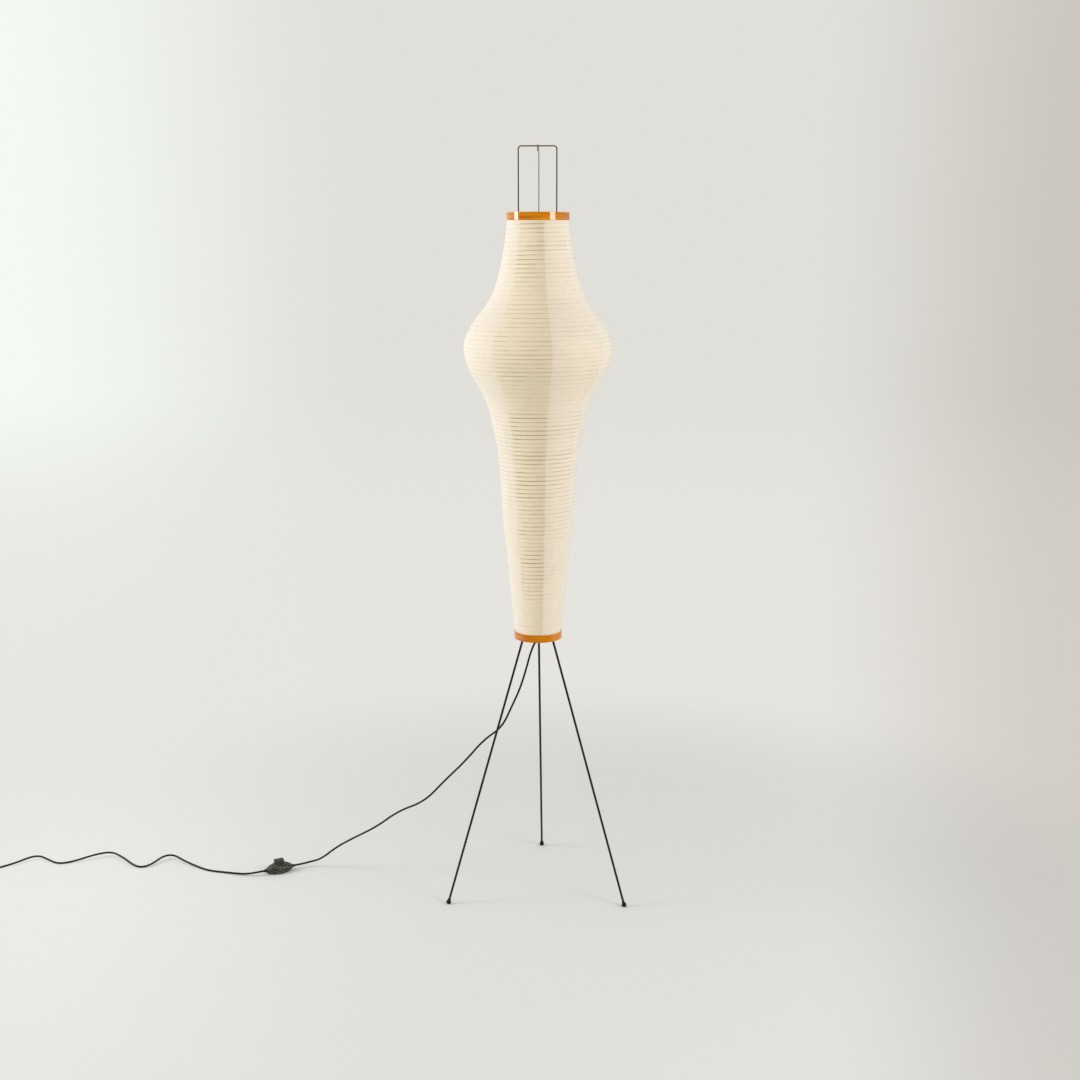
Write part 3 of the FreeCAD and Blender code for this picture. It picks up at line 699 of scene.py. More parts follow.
# ---- camera, lamps and floor
@dataclass
class Studio:
    """A pale room: the camera of the photograph, two tall soft lamps and a wide floor."""

    camera_place: tuple = (0.1440, -3.6251, 1.6310)
    level_view: tuple = (-0.03839, 0.99926)
    pitch: float = -11.3
    lens: float = 50.0
    sensor: float = 36.0
    floor_radius: float = 60.0
    floor_steps: int = 96
    # left, middle and right of the view, and the sideways directions between which they blend: painted light,
    # brightest on the left and darkest on the right
    wall_colours: tuple = ("#F3FAF3", "#E1DFDA", "#CBC7C0")
    far_floor_colours: tuple = ("#E7E6E3", "#E6E4DF", "#D3CEC8")
    near_floor_colours: tuple = ("#E4E6E6", "#E0E1E1", "#C7C8C8")
    left_blend: tuple = (-0.375, -0.14)
    right_blend: tuple = (0.13, 0.30)
    # how far from the lamp the floor's light evens out, and how far it turns into wall
    evens_out: tuple = (0.6, 1.9)
    turns_to_wall: tuple = (2.0, 14.0)
    # the part of the light that falls on the floor near the lamp
    floor_share: float = 0.91
    bounce_colour: str = "#E0E0DC"
    # in a gloss the room is dim behind the camera, which keeps the varnish's gloss clear between its
    # highlights: by how much, and the Y of a direction and of a place on the floor between which it dims
    dimness: float = 0.92
    wall_dims: tuple = (-0.5, 0.1)
    floor_dims: tuple = (-1.6, -0.2)
    ambient: float = 0.74
    ambient_colour: str = "#FFFDF9"
    lit_point: tuple = (0, 0, 1.25)
    lamps: tuple = (
        # name, place, width, height, watts, colour
        ("soft_lamp_left", (-3.0, -0.40, 1.95), 0.95, 1.5, 50.0, "#FFFDF8"),
        ("soft_lamp_right", (2.55, -1.70, 1.90), 1.15, 1.2, 40.0, "#FFFAF2"),
    )

    def camera(self) -> None:
        """Put the camera where the photograph was taken from."""
        tilt = math.radians(self.pitch)
        level = Vector(self.level_view)
        direction = Vector((level.x * math.cos(tilt), level.y * math.cos(tilt), math.sin(tilt)))
        data = bpy.data.cameras.new("camera")
        data.lens = self.lens
        data.sensor_width = self.sensor
        camera = add_object("camera", data)
        camera.location = self.camera_place
        camera.rotation_euler = direction.to_track_quat("-Z", "Y").to_euler()
        bpy.context.scene.camera = camera

    def light(self) -> None:
        """Hang the soft lamps, each turned to the shade."""
        for name, place, width, height, watts, colour in self.lamps:
            data = bpy.data.lights.new(name, "AREA")
            data.shape = "RECTANGLE"
            data.size = width
            data.size_y = height
            data.energy = watts
            data.color = linear(colour)[:3]
            lamp = add_object(name, data)
            lamp.location = place
            lamp.rotation_euler = (Vector(self.lit_point) - Vector(place)).to_track_quat("-Z", "Y").to_euler()
            lamp.visible_camera = False

    def seen(self, node: AddNode) -> Socket:
        """1 for a ray from the camera, a gloss or glass, else 0.

        Args:
            node: Adds a node.

        Returns:
            The number's socket.
        """
        camera = node("LightPath", output="Is Camera Ray")
        gloss = node("LightPath", output="Is Glossy Ray")
        glass = node("LightPath", output="Is Transmission Ray")
        mirrored = node("Math", (gloss, glass), operation="MAXIMUM")
        return node("Math", (camera, mirrored), operation="MAXIMUM")

    def in_gloss(self, node: AddNode, where: Socket, dims: tuple[float, float]) -> Socket:
        """How bright the room is in a gloss, which is dim towards -Y, and 1 for all other rays.

        Args:
            node: Adds a node.
            where: A place or a direction.
            dims: The Y at which it is dimmest, and the Y from which it is fully bright.

        Returns:
            The brightness's socket.
        """
        gloss = node("LightPath", output="Is Glossy Ray")
        forward = node("SeparateXYZ", (where,), 1)
        loss = node("MapRange", (forward, *dims, -self.dimness, 0.0), **SMOOTH)
        return node("Math", (gloss, loss, 1.0), operation="MULTIPLY_ADD")

    def across(self, node: AddNode, way: Socket, colours: tuple[str, str, str]) -> Socket:
        """A backdrop colour that drifts from the left of the view to its right: painted light, bright on the
        left and darker on the right.

        Args:
            node: Adds a node.
            way: The direction's socket.
            colours: The left, middle and right colour.

        Returns:
            The colour's socket.
        """
        left, middle, right = (linear(colour) for colour in colours)
        side = node("SeparateXYZ", (way,), 0)
        to_middle = node("MapRange", (side, *self.left_blend), **SMOOTH)
        to_right = node("MapRange", (side, *self.right_blend), **SMOOTH)
        blend = node("Mix", {"Factor": to_middle, 6: left, 7: middle}, **COLOUR_MIX)
        return node("Mix", {"Factor": to_right, 6: blend, 7: right}, **COLOUR_MIX)

    def world(self) -> None:
        """An even pale light all round, and the wall that the camera sees."""
        world = bpy.data.worlds.new("pale_room")
        world.use_nodes = True
        world.node_tree.nodes.clear()
        node = partial(add_node, world.node_tree)
        way = node("TexCoord", output="Generated")
        wall = node("Background", (self.across(node, way, self.wall_colours),
                                   self.in_gloss(node, way, self.wall_dims)))
        fill = node("Background", (linear(self.ambient_colour), self.ambient))
        node("OutputWorld", (node("MixShader", (self.seen(node), fill, wall)),))
        bpy.context.scene.world = world

    def floor_shader(self, node: AddNode) -> Socket:
        """A pale floor that keeps the lamp's shadow nearby and fades into the wall further off.

        Args:
            node: Adds a node.

        Returns:
            The shader's socket.
        """
        place = node("TexCoord", output="Object")
        reach = node("VectorMath", (place,), 1, operation="LENGTH")
        moved = node("VectorMath", (place, self.camera_place), operation="SUBTRACT")
        way = node("VectorMath", (moved,), operation="NORMALIZE")
        evened = node("MapRange", (reach, *self.evens_out), **SMOOTH)
        walled = node("MapRange", (reach, *self.turns_to_wall), **SMOOTH)
        far = node("Mix", {"Factor": walled, 6: self.across(node, way, self.far_floor_colours),
                           7: self.across(node, way, self.wall_colours)}, **COLOUR_MIX)
        # painted shade on the lit floor: its colour darkens towards the right of the view
        near = node("VectorMath", {0: self.across(node, way, self.near_floor_colours),
                                   "Scale": self.floor_share}, operation="SCALE")
        lit = node("BsdfDiffuse", (near,))
        even = node("Emission", (far, self.in_gloss(node, place, self.floor_dims)))
        shown = node("MixShader", (evened, lit, even))
        bounce = node("BsdfDiffuse", (linear(self.bounce_colour),))
        return node("MixShader", (self.seen(node), bounce, shown))

    def floor(self) -> None:
        """Lay the wide floor."""
        bm = bmesh.new()
        bmesh.ops.create_circle(bm, cap_ends=True, segments=self.floor_steps, radius=self.floor_radius)
        mesh_object(bm, "floor", new_material("pale_floor", self.floor_shader))

    def build(self) -> None:
        """Set up the whole room."""
        self.camera()
        self.light()
        self.world()
        self.floor()
        bpy.context.scene.view_settings.view_transform = "Standard"
        log.info("studio: camera, %d lamps, world and floor", len(self.lamps))


# ---- mains cord
def millimetres(points: tuple) -> list[Vector]:
    """Route points given in millimetres, in metres."""
    return [Vector(point) * MM for point in points]


@dataclass
class MainsCord:
    """The black cord: from the grip under the hub to the foot switch, then to the coil and the plug."""

    diameter: float = 5 * MM
    exit: tuple = (-0.0085, 0.001, 0.643)
    into_switch: tuple = (-0.647266, 0.068362, 0.0105)
    out_of_switch: tuple = (-0.720734, 0.027638, 0.0105)
    first_length: float = 0.950
    second_length: float = 1.43
    # the routes of the solid parts, point for point, in millimetres
    hanging_route: tuple = (
        (-8.5, 1, 643), (-17, 2, 626), (-30, 4, 575), (-46, 6, 522), (-66, 8, 477), (-92, 11, 418),
        (-140, 17, 382), (-190, 23, 320), (-242, 29, 267), (-296, 36, 206), (-366, 44, 176), (-424, 51, 129),
        (-486, 60, 94), (-534, 68, 64), (-578, 79, 25), (-609, 87, 13), (-629.8, 78.1, 10.5))
    floor_route: tuple = (
        (-738.2, 18, 10.5), (-769, 20, 4.5), (-822, 34, 2.5), (-872, 44, 2.5), (-912, 71, 3), (-952, 95, 8),
        (-984, 121, 12), (-1010, 116, 11), (-1027, 80, 6), (-1042, 62, 3.5), (-1062, 58, 3),
        (-1086, 75, 4.5), (-1118, 106, 9), (-1158, 136, 12), (-1200, 115, 11), (-1242, 88, 4),
        (-1282, 70, 2.5), (-1318, 91, 7), (-1344, 107, 9), (-1367, 100, 8.5), (-1393, 71, 5),
        (-1426, 43, 2.8), (-1452, 22, 3), (-1474, 12.5, 3.3))
    plug_route: tuple = ((-1496, 9.4, 8.4), (-1504, 9.0, 7.8), (-1516, 8.6, 7.0))
    coil_centre: tuple = (-1.496, 0.040)
    coil_start: float = 285.0
    coil_end: float = 1095.0
    coil_step: float = 22.5
    # the degrees travelled at which the coil starts to turn inwards, to climb and to turn outwards again,
    # and how long each change takes
    coil_changes: tuple = (300.0, 600.0, 900.0)
    coil_change: float = 60.0
    inner_track: float = 25 * MM
    outer_track: float = 30 * MM
    low_layer: float = 3.3 * MM
    high_layer: float = 8.4 * MM
    tie_thickness: float = 0.8 * MM
    tie_squareness: float = 5.0
    tie_steps: int = 32

    def curve(self, name: str, points: list[Vector]) -> bpy.types.Object:
        """A round cord along one smooth spline.

        Args:
            name: The piece's name.
            points: The spline's control points.

        Returns:
            The curve object.
        """
        curve = bpy.data.curves.new(name, "CURVE")
        curve.dimensions = "3D"
        spline = curve.splines.new("NURBS")
        spline.points.add(len(points) - 1)
        for held, point in zip(spline.points, points):
            held.co = (*point, 1.0)
        spline.order_u = 3
        spline.use_endpoint_u = True
        curve.resolution_u = 8
        curve.bevel_depth = self.diameter / 2
        curve.bevel_resolution = 4
        curve.use_fill_caps = True
        curve.materials.append(Finish.CORD_SHEATH.material())
        return add_object(name, curve)

    def coil(self) -> list[Vector]:
        """The put-away turns: two low, then up and round on top of them, and out towards the plug.

        Returns:
            Control points, 16 for each turn.
        """
        # control points stand outside the spline that they make
        outside = 1 / math.cos(math.radians(self.coil_step) / 2)
        points = []
        travelled = self.coil_step
        while travelled < self.coil_end:
            inwards, upwards, outwards = (min(max((travelled - begin) / self.coil_change, 0), 1)
                                          for begin in self.coil_changes)
            radius = self.outer_track + (self.inner_track - self.outer_track) * (inwards - outwards)
            height = self.low_layer + (self.high_layer - self.low_layer) * upwards
            angle = math.radians(self.coil_start - travelled)
            x, y = polar(radius * outside, angle)
            points.append(Vector((self.coil_centre[0] + x, self.coil_centre[1] + y, height)))
            travelled += self.coil_step
        return points

    def to_switch(self) -> bpy.types.Object:
        """The length that hangs between the legs and goes out to the foot switch."""
        route = millimetres(self.hanging_route) + [Vector(self.into_switch)]
        return self.curve("cord_lamp_to_switch", route)

    def to_plug(self) -> bpy.types.Object:
        """The slack length on the floor, its coil, and its end in the plug."""
        route = [Vector(self.out_of_switch), *millimetres(self.floor_route), *self.coil(),
                 *millimetres(self.plug_route)]
        return self.curve("cord_switch_to_plug", route)

    def grip(self) -> bpy.types.Object:
        """The collar on the nipple and its sleeve that leans the way the cord goes."""
        return skin("cord_grip", Finish.CORD_SHEATH)

    def tie(self) -> bpy.types.Object:
        """A strap of woven tape round the coil's bundle.

        Returns:
            The piece, settled.
        """
        low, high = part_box("coil_tie")
        middle, half = (low + high) / 2, (high - low) / 2
        bm = bmesh.new()
        for vert in bmesh.ops.create_circle(bm, segments=self.tie_steps, radius=1.0)["verts"]:
            across, up = vert.co.x, vert.co.y
            # a squared circle hugs the four cords of the bundle
            power = self.tie_squareness
            square = (abs(across) ** power + abs(up) ** power) ** (-1 / power)
            vert.co = (low.x, middle.y + across * square * half.y, middle.z + up * square * half.z)
        grown = bmesh.ops.extrude_edge_only(bm, edges=list(bm.edges))["geom"]
        shift(bm, grown, (high.x - low.x, 0, 0))
        bmesh.ops.recalc_face_normals(bm, faces=bm.faces)
        bmesh.ops.solidify(bm, geom=list(bm.faces), thickness=self.tie_thickness)
        return piece_from(bm, "coil_tie_strap", Finish.TAPE, "coil_tie")

    def build(self, switch: list[bpy.types.Object], plug: list[bpy.types.Object]) -> None:
        """Args:
            switch: The foot switch's pieces.
            plug: The plug's pieces.
        """
        first = settle(self.to_switch(), "cord_to_switch")
        second = settle(self.to_plug(), "cord_to_plug", "cord_coil")
        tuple(self.exit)
        [self.grip()] + switch
        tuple(self.out_of_switch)
        plug + [self.tie()]


# ---- foot switch
@dataclass
class FootSwitch:
    """The two-part ovoid switch on the floor with its block-shaped button."""

    centre: tuple = (-0.684, 0.048, 0.0)
    yaw: float = 29.0
    button_length: float = 24.4 * MM
    button_width: float = 13.4 * MM
    button_bottom: float = 19.6 * MM
    button_top: float = 36 * MM
    ridges: int = 5
    ridge_depth: float = 0.7 * MM
    ridge_steps: int = 8
    edge: float = 1.1 * MM
    # the flat beside each rounded edge, in edge widths
    flat_share: float = 1.6

    def button(self) -> bpy.types.Object:
        """The button: a wavy-topped block, drawn out from its side and eased at its edges.

        Returns:
            The piece, settled.
        """
        half = self.button_length / 2
        samples = self.ridges * self.ridge_steps
        flat = self.edge * self.flat_share
        outline = [(half, self.button_bottom), (-half, self.button_bottom), (-half, self.button_top)]
        for k in range(samples + 1):
            share = k / samples
            dip = math.sin(math.pi * self.ridges * share) ** 2 * self.ridge_depth
            outline.append((-half + flat + (self.button_length - 2 * flat) * share, self.button_top - dip))
        outline.append((half, self.button_top))
        bm = bmesh.new()
        side = bm.faces.new([bm.verts.new((x, -self.button_width / 2, z)) for x, z in outline])
        grown = bmesh.ops.extrude_face_region(bm, geom=[side])["geom"]
        shift(bm, grown, (0, self.button_width, 0))
        bmesh.ops.recalc_face_normals(bm, faces=bm.faces)
        ends = [edge for edge in bm.edges
                if all(abs(abs(vert.co.x) - half) < MERGE_DISTANCE for vert in edge.verts)
                and abs(edge.verts[0].co.x - edge.verts[1].co.x) < MERGE_DISTANCE]
        round_off(bm, ends, self.edge)
        place = Matrix.Translation(self.centre) @ Matrix.Rotation(math.radians(self.yaw), 4, "Z")
        bmesh.ops.transform(bm, matrix=place, verts=bm.verts)
        return piece_from(bm, "switch_button", Finish.SWITCH_BUTTON, "foot_button")

    def build(self) -> list[bpy.types.Object]:
        """Make the switch.

        Returns:
            Its pieces.
        """
        pieces = [skin(node, finish) for node, finish in (
            ("switch_base", Finish.SWITCH_SHELL), ("switch_cover", Finish.SWITCH_SHELL),
            ("switch_screws", Finish.ZINC), ("switch_glands", Finish.CORD_SHEATH),
            ("contact_bridge", Finish.BRASS), ("contact_blades", Finish.BRASS))]
        spring = skin("button_spring", Finish.ZINC)
        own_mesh(spring)
        return pieces + [spring, self.button()]


# ---- plug
@dataclass
class WallPlug:
    """The flat two-pin plug on the floor with its ribbed relief."""

    edge: float = 2.6 * MM
    # how far the block narrows towards the cord, and how deep the thumb grooves go, in shares of its size
    taper: tuple = (1, 0.62, 0.8)
    groove: tuple = (1, 0.96, 0.88)
    groove_span: float = 0.1
    relief_end: float = 2.75 * MM
    relief_ribs: int = 5
    relief_groove: float = 0.5 * MM
    relief_steps: int = 32

    def body(self) -> bpy.types.Object:
        """A tapered block with eased edges and a shallow thumb groove on each face.

        Returns:
            The piece, settled.
        """
        low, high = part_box("plug_body")
        size = high - low
        bm = bmesh.new()
        bmesh.ops.create_cube(bm, size=1.0)
        bmesh.ops.scale(bm, vec=size, verts=bm.verts)
        bmesh.ops.scale(bm, vec=self.taper, verts=[vert for vert in bm.verts if vert.co.x > 0])
        for share in (self.groove_span, 0.0, -self.groove_span):
            bmesh.ops.bisect_plane(bm, geom=whole(bm), plane_co=(size.x * share, 0, 0), plane_no=(1, 0, 0))
        groove = [vert for vert in bm.verts if abs(vert.co.x) < MERGE_DISTANCE]
        bmesh.ops.scale(bm, vec=self.groove, verts=groove)
        round_off(bm, [edge for edge in bm.edges if edge.calc_face_angle(0) > SHARP_ANGLE], self.edge)
        bmesh.ops.translate(bm, verts=bm.verts, vec=(low + high) / 2)
        return piece_from(bm, "plug_moulding", Finish.PLUG_PVC, "plug_body")

    def relief(self) -> bpy.types.Object:
        """A tapered sleeve with rings, stiff at the plug and soft at the cord.

        Returns:
            The piece, settled.
        """
        low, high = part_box("plug_relief")
        length = high.x - low.x
        wide, narrow = (high.y - low.y) / 2, self.relief_end
        profile = [(0.0, 0.0)]
        rings = self.relief_ribs * 4
        for k in range(rings + 1):
            share = k / rings
            # two of each rib's four steps lie in the groove
            neck = self.relief_groove if k % 4 in (2, 3) and k < rings - 1 else 0.0
            profile.append((wide + (narrow - wide) * share - neck * (1 - share), length * share))
        profile.append((0.0, length))
        bm = lathe(profile, self.relief_steps)
        middle = (low + high) / 2
        place = aim(Vector((low.x, middle.y, middle.z)), Vector((1, 0, 0)))
        bmesh.ops.transform(bm, matrix=place, verts=bm.verts)
        return piece_from(bm, "plug_relief_sleeve", Finish.PLUG_PVC, "plug_relief")

    def build(self) -> list[bpy.types.Object]:
        """Make the plug.

        Returns:
            Its pieces.
        """
        return [self.body(), self.relief(), skin("plug_pins", Finish.ZINC)]


# ---- tripod and wires
@dataclass
class Tripod:
    """Three black rods on rubber feet, the hub that holds them and its screws."""

    # each leg's name and the way it leans out, in degrees from +X
    legs: tuple = (("front_left", 210.0), ("front_right", 330.0), ("rear", 90.0))
    floor_circle: float = 255 * MM
    hub_circle: float = 39.6 * MM
    hub_height: float = 668 * MM
    rod_radius: float = 2.7 * MM
    ball_radius: float = 6 * MM
    ball_height: float = 5 * MM
    ball_steps: int = 14
    turn_steps: int = 32
    collar_radius: float = 3.7 * MM
    collar_end: float = 8.5 * MM
    collar_ease: float = 0.4 * MM
    bore_play: float = 0.05 * MM
    bore_depth: float = 1.5 * MM

    def foot(self, side: str, azimuth: float) -> bpy.types.Object:
        """A rubber ball with a short collar round the rod, flat where it stands.

        Args:
            side: The leg's name.
            azimuth: The way the leg leans out, in degrees from +X.

        Returns:
            The piece, settled.
        """
        outwards = Vector((*polar(1, math.radians(azimuth)), 0))
        rod = outwards * (self.hub_circle - self.floor_circle) + Vector((0, 0, self.hub_height))
        centre = outwards * self.floor_circle + rod * (self.ball_height / self.hub_height)
        low, high = -math.pi / 2, math.acos(self.collar_radius / self.ball_radius)
        profile = [(0.0, -self.ball_radius)]
        for k in range(1, self.ball_steps + 1):
            profile.append(polar(self.ball_radius, low + (high - low) * k / self.ball_steps))
        bore = self.rod_radius + self.bore_play
        profile += [(self.collar_radius, self.collar_end - self.collar_ease),
                    (self.collar_radius - self.collar_ease, self.collar_end),
                    (bore, self.collar_end), (bore, -self.bore_depth), (0.0, -self.bore_depth)]
        bm = lathe(profile, self.turn_steps)
        bmesh.ops.transform(bm, matrix=aim(centre, rod), verts=bm.verts)
        bmesh.ops.bisect_plane(bm, geom=whole(bm), plane_co=(0, 0, 0), plane_no=(0, 0, 1), clear_inner=True)
        bmesh.ops.holes_fill(bm, edges=[edge for edge in bm.edges if edge.is_boundary], sides=0)
        bmesh.ops.recalc_face_normals(bm, faces=bm.faces)
        return piece_from(bm, "ball_foot_" + side, Finish.FOOT_RUBBER, "foot_" + side)

    def build(self) -> None:
        """Make the tripod."""
        for side, azimuth in self.legs:
            skin("leg_" + side, Finish.BLACK_LACQUER)
            self.foot(side, azimuth)
        skin("hub", Finish.BLACK_LACQUER)
        skin("leg_screws", Finish.BLACK_OXIDE)


@dataclass
class WireFrame:
    """The carrying frame: a bent front wire, the rear wire that hooks over it and three spokes."""

    wires: tuple = ("front_wire", "rear_wire", "hoop_spokes")

    def build(self) -> None:
        """Make the wires."""
        for node in self.wires:
            skin(node, Finish.WIRE)


# ---- hoops
@dataclass
class Hoops:
    """Each hoop is an outer and an inner bent strip whose ends lie over each other at the back."""

    steps: int = 128
    edge: float = 0.5 * MM
    # the eased corner's points in edge widths, in from the side and up from the end. The last one keeps the
    # shading of the broad side flat
    corner: tuple = ((1.0, 0.0), (0.3, 0.3), (0.0, 1.0), (0.0, 1.5))
    lap_azimuth: float = 97.0
    lap_angle: float = 24.0
    lap_rise: float = 0.35 * MM

    def strip(self, node: str, name: str, finish: Finish) -> bpy.types.Object:
        """One bent strip with eased edges.

        Args:
            node: The part it stands for, whose height and radii it takes.
            name: The piece's name.
            finish: Its finish.

        Returns:
            The piece, settled.
        """
        low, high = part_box(node)
        radii = [vert.co.xy.length for vert in frame["nodes"][node].data.vertices]
        inner, outer = min(radii), max(radii)
        side = [(outer - self.edge * inwards, low.z + self.edge * up) for inwards, up in self.corner]
        side += [(radius, low.z + high.z - height) for radius, height in reversed(side)]
        bm = lathe(side + [(inner + outer - radius, height) for radius, height in reversed(side)], self.steps)
        maps = bm.loops.layers.uv.new("strip")
        for face in bm.faces:
            for loop, turn in zip(face.loops, turns_round(face, 0.0)):
                across = loop.vert.co.xy.length - inner
                loop[maps].uv = (turn * FULL_TURN * outer, loop.vert.co.z + across)
        for vert in bm.verts:
            # the outer end of the strip rises over the end beneath it, then stops
            behind = (math.degrees(math.atan2(vert.co.y, vert.co.x)) - self.lap_azimuth) % 360
            share = 1 - (360 - behind) / self.lap_angle
            if share > 0:
                vert.co.xy *= 1 + self.lap_rise * share / vert.co.xy.length
        return piece_from(bm, name, finish, node)

    def build(self) -> None:
        """Make the four strips."""
        for end in ("top", "bottom"):
            self.strip(end + "_hoop", end + "_hoop_strip", Finish.AMBER_STRIP)
            self.strip(end + "_hoop_lining", end + "_lining_strip", Finish.INNER_STRIP)


# ---- paper shade
@dataclass
class PaperShade:
    """Eight gores of paper over one long spiral rib, from the top hoop to the bottom hoop.

    The outline repeats the solid part's: radius and height in millimetres.
    """

    outline: tuple = ((73.45, 1677.4), (78.5, 1632.0), (88.5, 1576.0), (103.5, 1520.0), (131.0, 1471.0),
                      (162.0, 1429.0), (179.0, 1380.0), (170.5, 1335.0), (147.0, 1290.0), (126.5, 1250.0),
                      (112.5, 1200.0), (98.5, 1130.0), (91.3, 1040.0), (85.0, 950.0), (74.5, 853.0),
                      (65.0, 749.0), (60.4, 698.0), (57.3, 678.0))
    outline_samples: int = 2000
    first_seam: float = math.radians(-77.3)
    pitch: float = 10.2 * MM
    rib_phase: float = 1669.4 * MM
    rows_per_rib: int = 4
    steps: int = 128
    thickness: float = 0.35 * MM
    sag: float = 0.22 * MM
    # hand winding strays by this much, in waves of so many radians a metre up and a radian round
    wobble: float = 0.5 * MM
    wobble_waves: tuple = ((61, 2, 0), (143, -3, 1))
    wobble_shares: tuple = (1.0, 0.6)
    rib_width: float = 1.6 * MM
    rib_depth: float = 1.2 * MM
    rib_gap: float = 0.1 * MM
    rib_steps: int = 72
    # in the unit spiral the rib's inner side is this far in
    rib_mark: float = 0.9
    spin_merge: float = 1e-4
    split: float = 1130 * MM
    hem: float = 700 * MM
    lift: float = 300 * MM

    def __post_init__(self) -> None:
        """Work out the smooth outline: a natural cubic spline through the points by chord length."""
        points = np.array(self.outline) * MM
        along = np.r_[0, np.cumsum(np.hypot(*np.diff(points, axis=0).T))]
        gaps = np.diff(along)
        count = len(along)
        system = np.eye(count)
        bends = np.zeros((count, 2))
        for i in range(1, count - 1):
            system[i, i - 1:i + 2] = gaps[i - 1], 2 * (gaps[i - 1] + gaps[i]), gaps[i]
            bends[i] = 6 * ((points[i + 1] - points[i]) / gaps[i] - (points[i] - points[i - 1]) / gaps[i - 1])
        bends = np.linalg.solve(system, bends)
        at = np.linspace(0, along[-1], self.outline_samples)
        run = np.clip(np.searchsorted(along, at) - 1, 0, count - 2)
        before = ((along[run + 1] - at) / gaps[run])[:, None]
        after = ((at - along[run]) / gaps[run])[:, None]
        bowed = (before ** 3 - before) * bends[run] + (after ** 3 - after) * bends[run + 1]
        curve = before * points[run] + after * points[run + 1] + bowed * gaps[run][:, None] ** 2 / 6
        self.radii, self.heights = curve[::-1].T

    def radius(self, height: float) -> float:
        """The paper's outer radius at a height."""
        return float(np.interp(height, self.heights, self.radii))

    def unevenness(self, height: float, angle: float) -> float:
        """How far the rib strays up or down there, as hand winding leaves it."""
        waves = (share * math.sin(height * up + angle * around + begin)
                 for share, (up, around, begin) in zip(self.wobble_shares, self.wobble_waves))
        return self.wobble * sum(waves) / sum(self.wobble_shares)

    def held(self, height: float) -> bool:
        """Whether the paper is inside a hoop there."""
        return height >= self.heights[-1] or height <= self.heights[0]

    def spiral(self, section: list[tuple[float, float]], steps: int, closed: bool) -> bmesh.types.BMesh:
        """Spin a section one turn up the shade's pitch, on a radius of 1 from the first seam.

        Args:
            section: Sideways offset from radius 1 and height of each point.
            steps: Steps in the turn.
            closed: Whether the section closes into a loop.

        Returns:
            One turn of sheet or strip.
        """
        line = [(*polar(1 + out, self.first_seam), height) for out, height in section]
        return spun(line, closed, steps, self.pitch, self.spin_merge)

    def sheet(self, node: str, low: float, high: float) -> bpy.types.Object:
        """One length of paper with its ribs' ridges.

        Args:
            node: The part it stands for.
            low: Its lower end.
            high: Its upper end.

        Returns:
            The piece, settled.
        """
        row = self.pitch / self.rows_per_rib
        first = self.rib_phase - self.pitch * (2 + math.ceil((self.rib_phase - low) / self.pitch))
        rows = math.ceil((high - first) / row) + self.rows_per_rib
        bm = self.spiral([(0.0, first + k * row) for k in range(rows)], self.steps, False)
        for height, way in ((low, -1), (high, 1)):
            bmesh.ops.bisect_plane(bm, geom=whole(bm), plane_co=(0, 0, height), plane_no=(0, 0, way),
                                   clear_outer=True)
        maps = bm.loops.layers.uv.new("gores")
        ridge = bm.verts.layers.float.new("ridge")
        for face in bm.faces:
            for loop, turn in zip(face.loops, turns_round(face, self.first_seam)):
                count = (loop.vert.co.z - self.rib_phase) / self.pitch - turn
                loop[maps].uv = (turn, count)
                loop.vert[ridge] = math.sin(math.pi * count) ** 2
        for vert in bm.verts:
            height = vert.co.z
            angle = math.atan2(vert.co.y, vert.co.x)
            inside_hoop = self.held(height)
            end = height - low < MERGE_DISTANCE or high - height < MERGE_DISTANCE
            radius = self.radius(height) - (0 if inside_hoop else self.sag * vert[ridge])
            stray = 0 if inside_hoop or end else self.unevenness(height, angle)
            vert.co = (*polar(radius, angle), height + stray)
        bmesh.ops.recalc_face_normals(bm, faces=bm.faces)
        bm.faces.ensure_lookup_table()
        middle = bm.faces[len(bm.faces) // 2]
        if middle.normal.xy.dot(middle.calc_center_median().xy) < 0:
            bmesh.ops.reverse_faces(bm, faces=bm.faces)
        piece = piece_from(bm, node + "_gores", Finish.PAPER, node)
        wall = piece.modifiers.new("paper_thickness", "SOLIDIFY")
        wall.thickness = self.thickness
        wall.offset = -1
        return piece

    def rib(self, node: str, low: float, high: float) -> bpy.types.Object:
        """One length of the spiral bamboo rib, flat against the paper.

        Args:
            node: The part it stands for.
            low: Its lower end.
            high: Its upper end.

        Returns:
            The piece, settled.
        """
        low = max(low, self.heights[0] + self.pitch / 2)
        high = min(high, self.heights[-1] - self.pitch / 2)
        half = self.rib_width / 2
        start = self.rib_phase - self.pitch * math.floor((self.rib_phase - low - half) / self.pitch)
        section = [(0.0, start - half), (0.0, start + half), (-self.rib_mark, start + half),
                   (-self.rib_mark, start - half)]
        bm = self.spiral(section, self.rib_steps, True)
        one_turn = whole(bm)
        for turn in range(1, math.floor((high - half - start) / self.pitch)):
            copy = bmesh.ops.duplicate(bm, geom=one_turn)["geom"]
            shift(bm, copy, (0, 0, turn * self.pitch))
        bmesh.ops.remove_doubles(bm, verts=bm.verts, dist=self.spin_merge)
        bmesh.ops.holes_fill(bm, edges=[edge for edge in bm.edges if edge.is_boundary], sides=4)
        for vert in bm.verts:
            height = vert.co.z
            angle = math.atan2(vert.co.y, vert.co.x)
            deep = self.thickness + self.rib_gap
            if vert.co.xy.length < 1 - self.rib_mark / 2:
                deep += self.rib_depth
            slope = (self.radius(height + half) - self.radius(height - half)) / self.rib_width
            radius = self.radius(height) - deep * math.hypot(1, slope)
            stray = self.unevenness(height, angle)
            vert.co = (*polar(radius, angle), height + stray)
        bmesh.ops.recalc_face_normals(bm, faces=bm.faces)
        return piece_from(bm, node + "_spiral", Finish.BAMBOO, node)

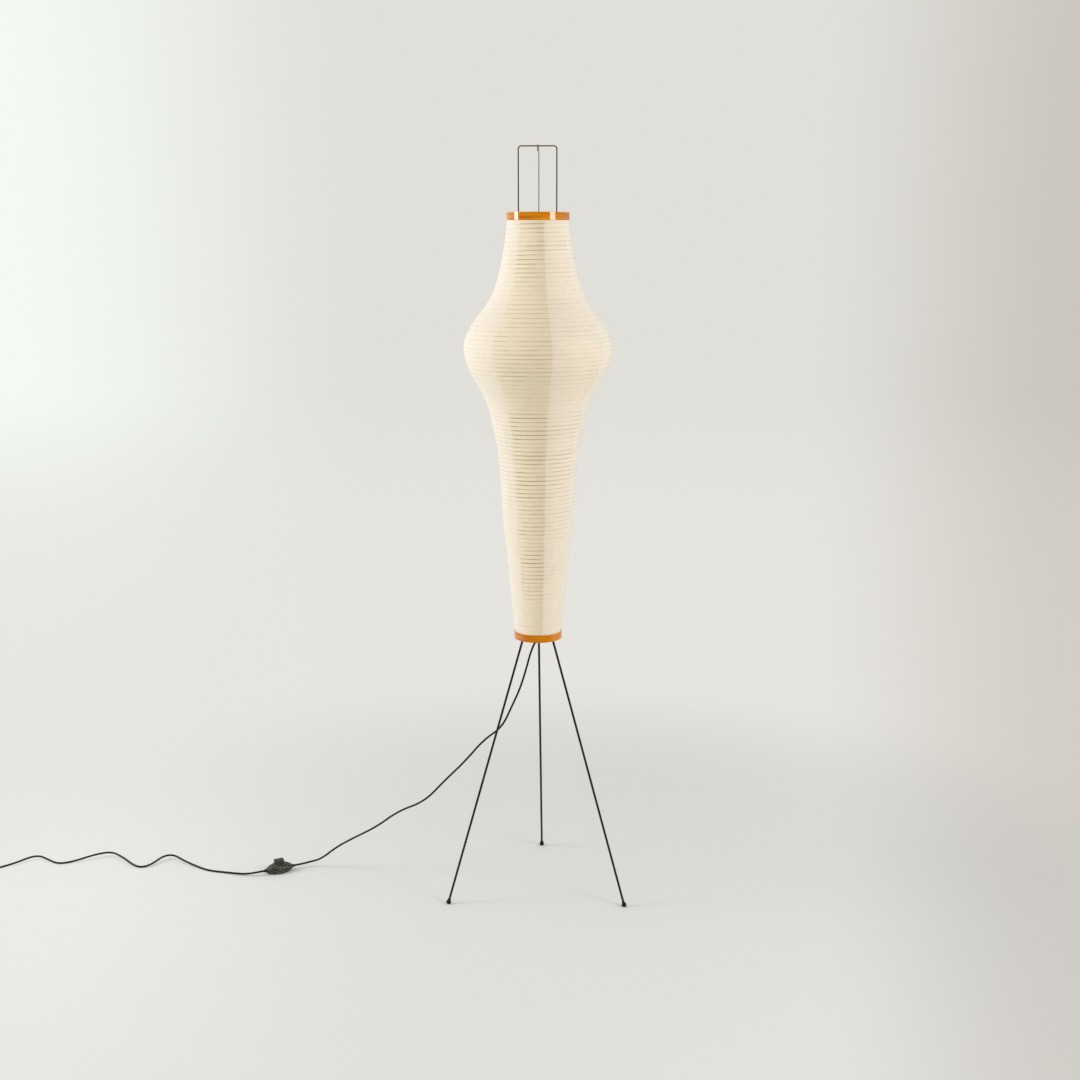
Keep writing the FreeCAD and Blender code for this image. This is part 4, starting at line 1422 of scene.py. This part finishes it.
    def build(self) -> None:
        """Make the paper and its rib in three lengths, and give the lower length's pieces meshes of their
        own.
        """
        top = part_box("upper_paper")[1].z
        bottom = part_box("hem_paper")[0].z
        for paper, rib, low, high in (("upper_paper", "upper_ribs", self.split, top),
                                      ("lower_paper", "lower_ribs", self.hem, self.split),
                                      ("hem_paper", "hem_rib", bottom, self.hem)):
            pieces = (self.sheet(paper, low, high), self.rib(rib, low, high))
            if paper == "lower_paper":
                for piece in pieces:
                    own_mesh(piece)


# ---- lampholder and bulb
@dataclass
class Lampholder:
    """The screw lampholder on its nipple above the hub, with its inner parts, leads and the bulb's cap."""

    parts: tuple = (
        ("nipple", Finish.BRASS), ("nipple_nuts", Finish.ZINC), ("holder_cap", Finish.PHENOLIC),
        ("holder_body", Finish.PHENOLIC), ("holder_insert", Finish.STEATITE),
        ("terminal_screws", Finish.BRASS), ("screw_shell", Finish.BRASS), ("centre_contact", Finish.BRASS),
        ("holder_leads", Finish.CORD_SHEATH), ("bulb_cap", Finish.ALUMINIUM))

    def build(self) -> None:
        """Make the lampholder."""
        for node, finish in self.parts:
            skin(node, finish)


@dataclass
class Bulb:
    """An opal glass bulb with a smooth neck."""

    ball_radius: float = 30 * MM
    neck_radius: float = 15 * MM
    neck_ease: float = 1 * MM
    # the neck's line starts with this lean and meets the ball at this angle below its middle
    neck_lean: float = 0.08
    shoulder: float = math.radians(-38)
    handle_share: float = 0.45
    steps: int = 48
    samples: int = 20

    def build(self) -> None:
        """Spin the glass from its neck to its crown."""
        low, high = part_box("bulb_glass")
        centre = high.z - self.ball_radius
        start = Vector((self.neck_radius, low.z + self.neck_ease))
        end = Vector((0, centre)) + Vector(polar(self.ball_radius, self.shoulder))
        handle = (end - start).length * self.handle_share
        along_ball = Vector(polar(1, self.shoulder + FULL_TURN / 4))
        neck = interpolate_bezier(start, start + Vector((self.neck_lean, 1)) * handle,
                                  end - along_ball * handle, end, self.samples + 1)
        profile = [(0.0, low.z), (self.neck_radius - self.neck_ease, low.z)]
        profile += [(point.x, point.y) for point in neck[:-1]]
        for k in range(self.samples):
            angle = self.shoulder + (FULL_TURN / 4 - self.shoulder) * k / self.samples
            radius, up = polar(self.ball_radius, angle)
            profile.append((radius, centre + up))
        profile.append((0.0, high.z))
        piece_from(lathe(profile, self.steps), "bulb_envelope", Finish.OPAL, "bulb_glass")


def main() -> None:
    """Build the studio and the lamp in order."""
    logging.basicConfig(level=logging.INFO, format="%(name)s %(relativeCreated)6d ms: %(message)s")
    Studio().build()
    MainsCord().build(FootSwitch().build(), WallPlug().build())
    for assembly in (Tripod(), WireFrame(), Hoops(), PaperShade(), Lampholder(), Bulb()):
        assembly.build()


if __name__ == "__main__":
    main()
